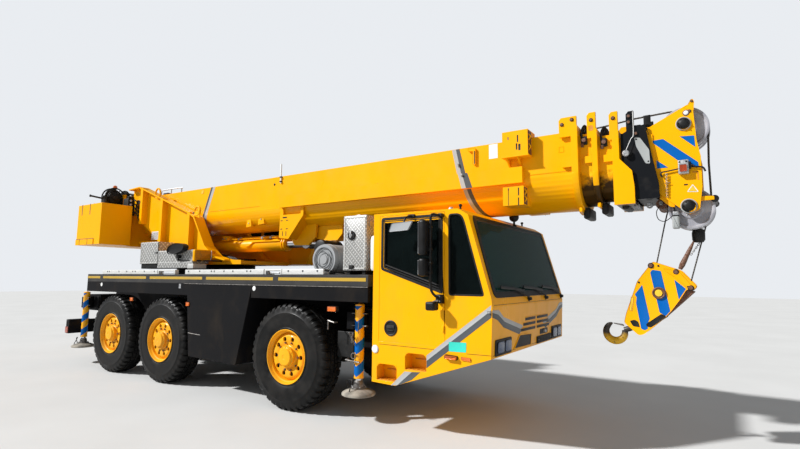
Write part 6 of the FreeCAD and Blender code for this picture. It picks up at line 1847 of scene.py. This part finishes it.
    def winch(self):
        """Rope laid on the drum in a helix, r(d) = drum + half a rope, and the reel with its beacon."""
        rope = Piece("winch_rope", "winch_drum", "black_paint")
        drum = (-5.790, 0.0, 3.345)
        turns = np.linspace(0, 40 * TURN, 40 * 14)
        level = np.linspace(-0.500, 0.500, len(turns))
        path = np.stack([drum[0] + 0.141 * np.cos(turns), level, drum[2] + 0.141 * np.sin(turns)], -1)
        rope.tube(path, 0.0125, rope_steel, 6)
        for y in (-0.562, 0.562):
            turn = math.copysign(1.0, y)
            rope.lathe([(0.050, y), (0.186, y), (0.186, y + turn * 0.004), (0.050, y + turn * 0.006), (0.050, y)], drum, mirror_black, "Y", 40)
        rope.done()
        reel = Piece("hose_reel", "turntable", "black_paint")
        centre = (-5.800, -0.760, 3.345)
        for x in (-5.870, -5.735):
            reel.lathe([(0.185, x), (0.208, x), (0.212, x + 0.008), (0.208, x + 0.016), (0.185, x + 0.016), (0.185, x)], (0, *centre[1:]), gasket_black, "X", 40)
            reel.lathe([(0.140, x), (0.152, x), (0.152, x + 0.014), (0.140, x + 0.014), (0.140, x)], (0, *centre[1:]), gasket_black, "X", 32)
            for index in range(6):
                angle = index / 6 * TURN
                out = np.array([0.0, math.cos(angle), math.sin(angle)])
                base = np.array([x + 0.007, *centre[1:]])
                reel.tube([base, base + out * 0.198], 0.010, gasket_black, 8)
        reel.lathe([(0, -5.880), (0.060, -5.880), (0.060, -5.860), (0.120, -5.850), (0.125, -5.800), (0.120, -5.740), (0.060, -5.730), (0.050, -5.705), (0, -5.700)], (0, *centre[1:]), gasket_black, "X", 32)
        for radius in (0.130, 0.150, 0.168):
            reel.lathe([(radius - 0.012, -5.800), (radius, -5.812), (radius + 0.012, -5.800), (radius, -5.788), (radius - 0.012, -5.800)], (0, *centre[1:]), rope_steel, "X", 32)
        reel.box((-5.900, -0.960, 3.136), (-5.700, -0.560, 3.165), gasket_black, 0.006)
        for y in (-0.940, -0.600):
            reel.box((-5.890, y - 0.015, 3.150), (-5.710, y + 0.015, 3.345), gasket_black, 0.006)
        reel.box((-5.850, -0.980, 3.320), (-5.750, -0.930, 3.370), gasket_black, 0.010)
        reel.tube([(-5.800, -0.980, 3.310), (-5.800, -1.200, 3.330)], 0.018, mirror_black, 10)
        reel.tube([(-5.800, -1.200, 3.330), (-5.800, -1.215, 3.330)], 0.026, mirror_black, 10)
        reel.lathe([(0, 3.540), (0.046, 3.540), (0.046, 3.558), (0, 3.558)], (-5.800, -0.738, 0.0), gasket_black, "Z", 24)
        reel.lathe([(0, 3.556), (0.040, 3.556), (0.041, 3.580), (0.034, 3.602), (0.018, 3.614), (0, 3.617)], (-5.800, -0.738, 0.0), lamp_orange, "Z", 24)
        reel.done()


class CRANE_OT_operator_cab(CraneOperator, bpy.types.Operator):
    """Rubbers, wiper, lamps, rails and hinges of the operator's cab and its door"""
    bl_idname = "crane.operator_cab"
    bl_label = "Operator's cab"

    def execute(self, context):
        self.shell()
        self.door()
        return {"FINISHED"}

    def shell(self):
        trim = Piece("operator_cab_trim", "turntable", "cab_trim")
        window = rounded([(-2.660, 2.490), (-1.440, 2.490), (-1.550, 3.280), (-2.660, 3.280)], 0.06, 6)
        trim.frame(window, 0.030, "Y", (0.603, 0.592), gasket_black)
        lean = math.degrees(math.atan2(0.150, 0.980))
        turn = ((-1.340, 0.0, 2.400), "Y", -8.7)
        for y in (0.655, 1.185):
            trim.tube([(-1.332, y, 2.380), (-1.470, y, 3.285)], 0.014, gasket_black, 8)
        for x, z in ((-1.330, 2.375), (-1.472, 3.290)):
            trim.tube([(x, 0.650, z), (x, 1.190, z)], 0.014, gasket_black, 8)
        trim.tube(smooth_path([(-1.330, 0.900, 2.360), (-1.345, 0.920, 2.600), (-1.375, 0.980, 2.820)], 5), 0.008, gasket_black, 8)
        trim.tube([(-1.352, 0.985, 2.660), (-1.405, 0.975, 2.990)], 0.010, gasket_black, 8, (1.4, 0.6))
        for y in (0.680, 1.160):
            trim.box((-1.560, y - 0.055, 3.372), (-1.470, y + 0.055, 3.450), gasket_black, 0.014, 0.014, "X")
            trim.plate(rounded([(y - 0.045, 3.382), (y + 0.045, 3.382), (y + 0.045, 3.440), (y - 0.045, 3.440)], 0.012), "X", (-1.474, -1.464), lamp_clear, 0.004)
        trim.frame(rounded([(-2.600, 0.680), (-2.050, 0.680), (-2.050, 1.160), (-2.600, 1.160)], 0.05, 5), 0.030, "Z", (3.376, 3.390), gasket_black)
        trim.plate(rounded([(-2.575, 0.705), (-2.075, 0.705), (-2.075, 1.135), (-2.575, 1.135)], 0.04, 5), "Z", (3.374, 3.384), dark_glass, 0.003)
        for y in (0.640, 1.200):
            trim.tube(smooth_path([(-2.720, y, 3.372), (-2.715, y, 3.420), (-2.600, y, 3.430), (-1.900, y, 3.430), (-1.790, y, 3.420), (-1.785, y, 3.372)], 5), 0.011, gasket_black, 8)
        trim.tube(smooth_path([(-1.290, 1.215, 2.420), (-1.262, 1.225, 2.500), (-1.350, 1.225, 3.050), (-1.400, 1.215, 3.110)], 6), 0.012, gasket_black, 8)
        # painted shade: the rear grille's gaps are near black
        trim.box((-2.745, 0.700, 2.260), (-2.738, 1.140, 2.420), mesh_black, 0.003)
        trim.box((-2.748, 0.690, 2.900), (-2.738, 1.150, 3.200), dark_glass, 0.004)
        for index in range(4):
            trim.box((-2.748, 0.740, 2.520 + 0.060 * index), (-2.740, 1.100, 2.545 + 0.060 * index), gasket_black, 0.002)
        trim.done()

    def door(self):
        trim = Piece("operator_door_trim", "operator_door", "cab_trim")
        face = 1.270
        window = rounded([(-2.640, 2.430), (-1.460, 2.430), (-1.575, 3.245), (-2.640, 3.245)], 0.05, 6)
        trim.frame(window, 0.032, "Y", (face - 0.004, face + 0.008), gasket_black)
        trim.box((-2.700, face - 0.002, 2.300), (-2.600, face + 0.020, 2.345), gasket_black, 0.006, 0.012, "Y")
        trim.tube(smooth_path([(-2.640, face, 2.120), (-2.640, face + 0.040, 2.140), (-2.640, face + 0.040, 2.250), (-2.640, face, 2.270)], 5), 0.010, gasket_black, 8)
        for z in (2.120, 3.180):
            trim.tube([(-1.530 - 0.1 * (z > 3), face + 0.006, z), (-1.530 - 0.1 * (z > 3), face + 0.006, z + 0.080)], 0.014, mirror_black, 10)
        trim.plate(rounded([(-2.560, 2.080), (-1.660, 2.080), (-1.600, 2.240), (-2.560, 2.240)], 0.02), "Y", (face - 0.003, face + 0.003), yellow_paint, 0.002)
        trim.done()


class CRANE_OT_stage(CraneOperator, bpy.types.Operator):
    """Pale floor, soft lights and the camera at the photograph's angle"""
    bl_idname = "crane.stage"
    bl_label = "Stage"

    def execute(self, context):
        scene = context.scene
        scene.view_settings.view_transform = "Standard"
        reach = 60.0
        corners = [(-reach, -reach, 0), (reach, -reach, 0), (reach, reach, 0), (-reach, reach, 0)]
        mesh = bpy.data.meshes.new("studio_floor")
        mesh.from_pydata(corners, [], [(0, 1, 2, 3)])
        floor = bpy.data.objects.new("studio_floor", mesh)
        scene.collection.objects.link(floor)
        mesh.materials.append(studio_floor())
        world = bpy.data.worlds.new("soft_sky")
        scene.world = world
        world.use_nodes = True
        tree = world.node_tree
        path = tree.nodes.new("ShaderNodeLightPath")
        shown = tree.nodes.new("ShaderNodeMath")
        shown.operation = "MAXIMUM"
        tree.links.new(path.outputs["Is Camera Ray"], shown.inputs[0])
        shown.inputs[1].default_value = 0.0
        strength = tree.nodes.new("ShaderNodeMapRange")
        strength.inputs["To Min"].default_value = 0.33
        strength.inputs["To Max"].default_value = 0.88
        tree.links.new(shown.outputs[0], strength.inputs["Value"])
        back = tree.nodes["Background"]
        back.inputs["Color"].default_value = (0.93, 0.96, 1.0, 1.0)
        tree.links.new(strength.outputs[0], back.inputs["Strength"])
        for name, energy, angle, heading in (("sun_key", 5.1, 2.5, (0.58, 0.55, -0.60)), ("sun_fill", 0.12, 60.0, (-0.6, 0.3, -0.5))):
            lamp = bpy.data.lights.new(name, "SUN")
            lamp.energy = energy
            lamp.angle = math.radians(angle)
            sun = bpy.data.objects.new(name, lamp)
            sun.rotation_euler = Vector(heading).to_track_quat("-Z", "Y").to_euler()
            scene.collection.objects.link(sun)
        self.camera(scene)
        return {"FINISHED"}

    def camera(self, scene):
        """The view fitted to the photograph: place, heading, pitch and a slight roll."""
        yaw, pitch, roll = (math.radians(v) for v in (-33.52, 6.43, 0.503))
        forward = np.array([math.sin(yaw) * math.cos(pitch), math.cos(yaw) * math.cos(pitch), math.sin(pitch)])
        right = np.array([math.cos(yaw), -math.sin(yaw), 0.0])
        up = np.cross(right, forward)
        right, up = right * math.cos(roll) + up * math.sin(roll), up * math.cos(roll) - right * math.sin(roll)
        data = bpy.data.cameras.new("photo_view")
        data.sensor_width = 36.0
        data.lens = scene.crane_stage.lens
        data.clip_end = 300.0
        camera = bpy.data.objects.new("photo_view", data)
        matrix = np.eye(4)
        matrix[:3, 0], matrix[:3, 1], matrix[:3, 2] = right, up, -forward
        matrix[:3, 3] = (4.8155 + AXLE_1, -5.8638, 1.6995)
        camera.matrix_world = Matrix(matrix.tolist())
        scene.collection.objects.link(camera)
        scene.camera = camera


OPERATORS = [
    CRANE_OT_paint_frame, CRANE_OT_tyres, CRANE_OT_rims, CRANE_OT_cab_front, CRANE_OT_cab_sides, CRANE_OT_cab_doors,
    CRANE_OT_boom, CRANE_OT_head, CRANE_OT_hook, CRANE_OT_deck, CRANE_OT_jacks, CRANE_OT_turntable,
    CRANE_OT_operator_cab, CRANE_OT_stage,
]
SETTINGS = {"crane_paint": PaintSettings, "crane_tyres": TyreSettings, "crane_stage": StageSettings}


class CRANE_PT_dressing(bpy.types.Panel):
    bl_label = "Crane dressing"
    bl_idname = "CRANE_PT_dressing"
    bl_space_type = "VIEW_3D"
    bl_region_type = "UI"
    bl_category = "Crane"

    def draw(self, context):
        for name in SETTINGS:
            group = getattr(context.scene, name)
            box = self.layout.box()
            for key in group.bl_rna.properties.keys():
                if key not in ("rna_type", "name"):
                    box.prop(group, key)
        for operator in OPERATORS:
            self.layout.operator(operator.bl_idname)


def register():
    for name, group in SETTINGS.items():
        bpy.utils.register_class(group)
        setattr(bpy.types.Scene, name, PointerProperty(type=group))
    for operator in OPERATORS:
        bpy.utils.register_class(operator)
    bpy.utils.register_class(CRANE_PT_dressing)


def unregister():
    bpy.utils.unregister_class(CRANE_PT_dressing)
    for operator in reversed(OPERATORS):
        bpy.utils.unregister_class(operator)
    for name, group in SETTINGS.items():
        delattr(bpy.types.Scene, name)
        bpy.utils.unregister_class(group)


def main():
    register()
    for operator in OPERATORS:
        family, name = operator.bl_idname.split(".")
        getattr(getattr(bpy.ops, family), name)()


if __name__ == "__main__":
    main()
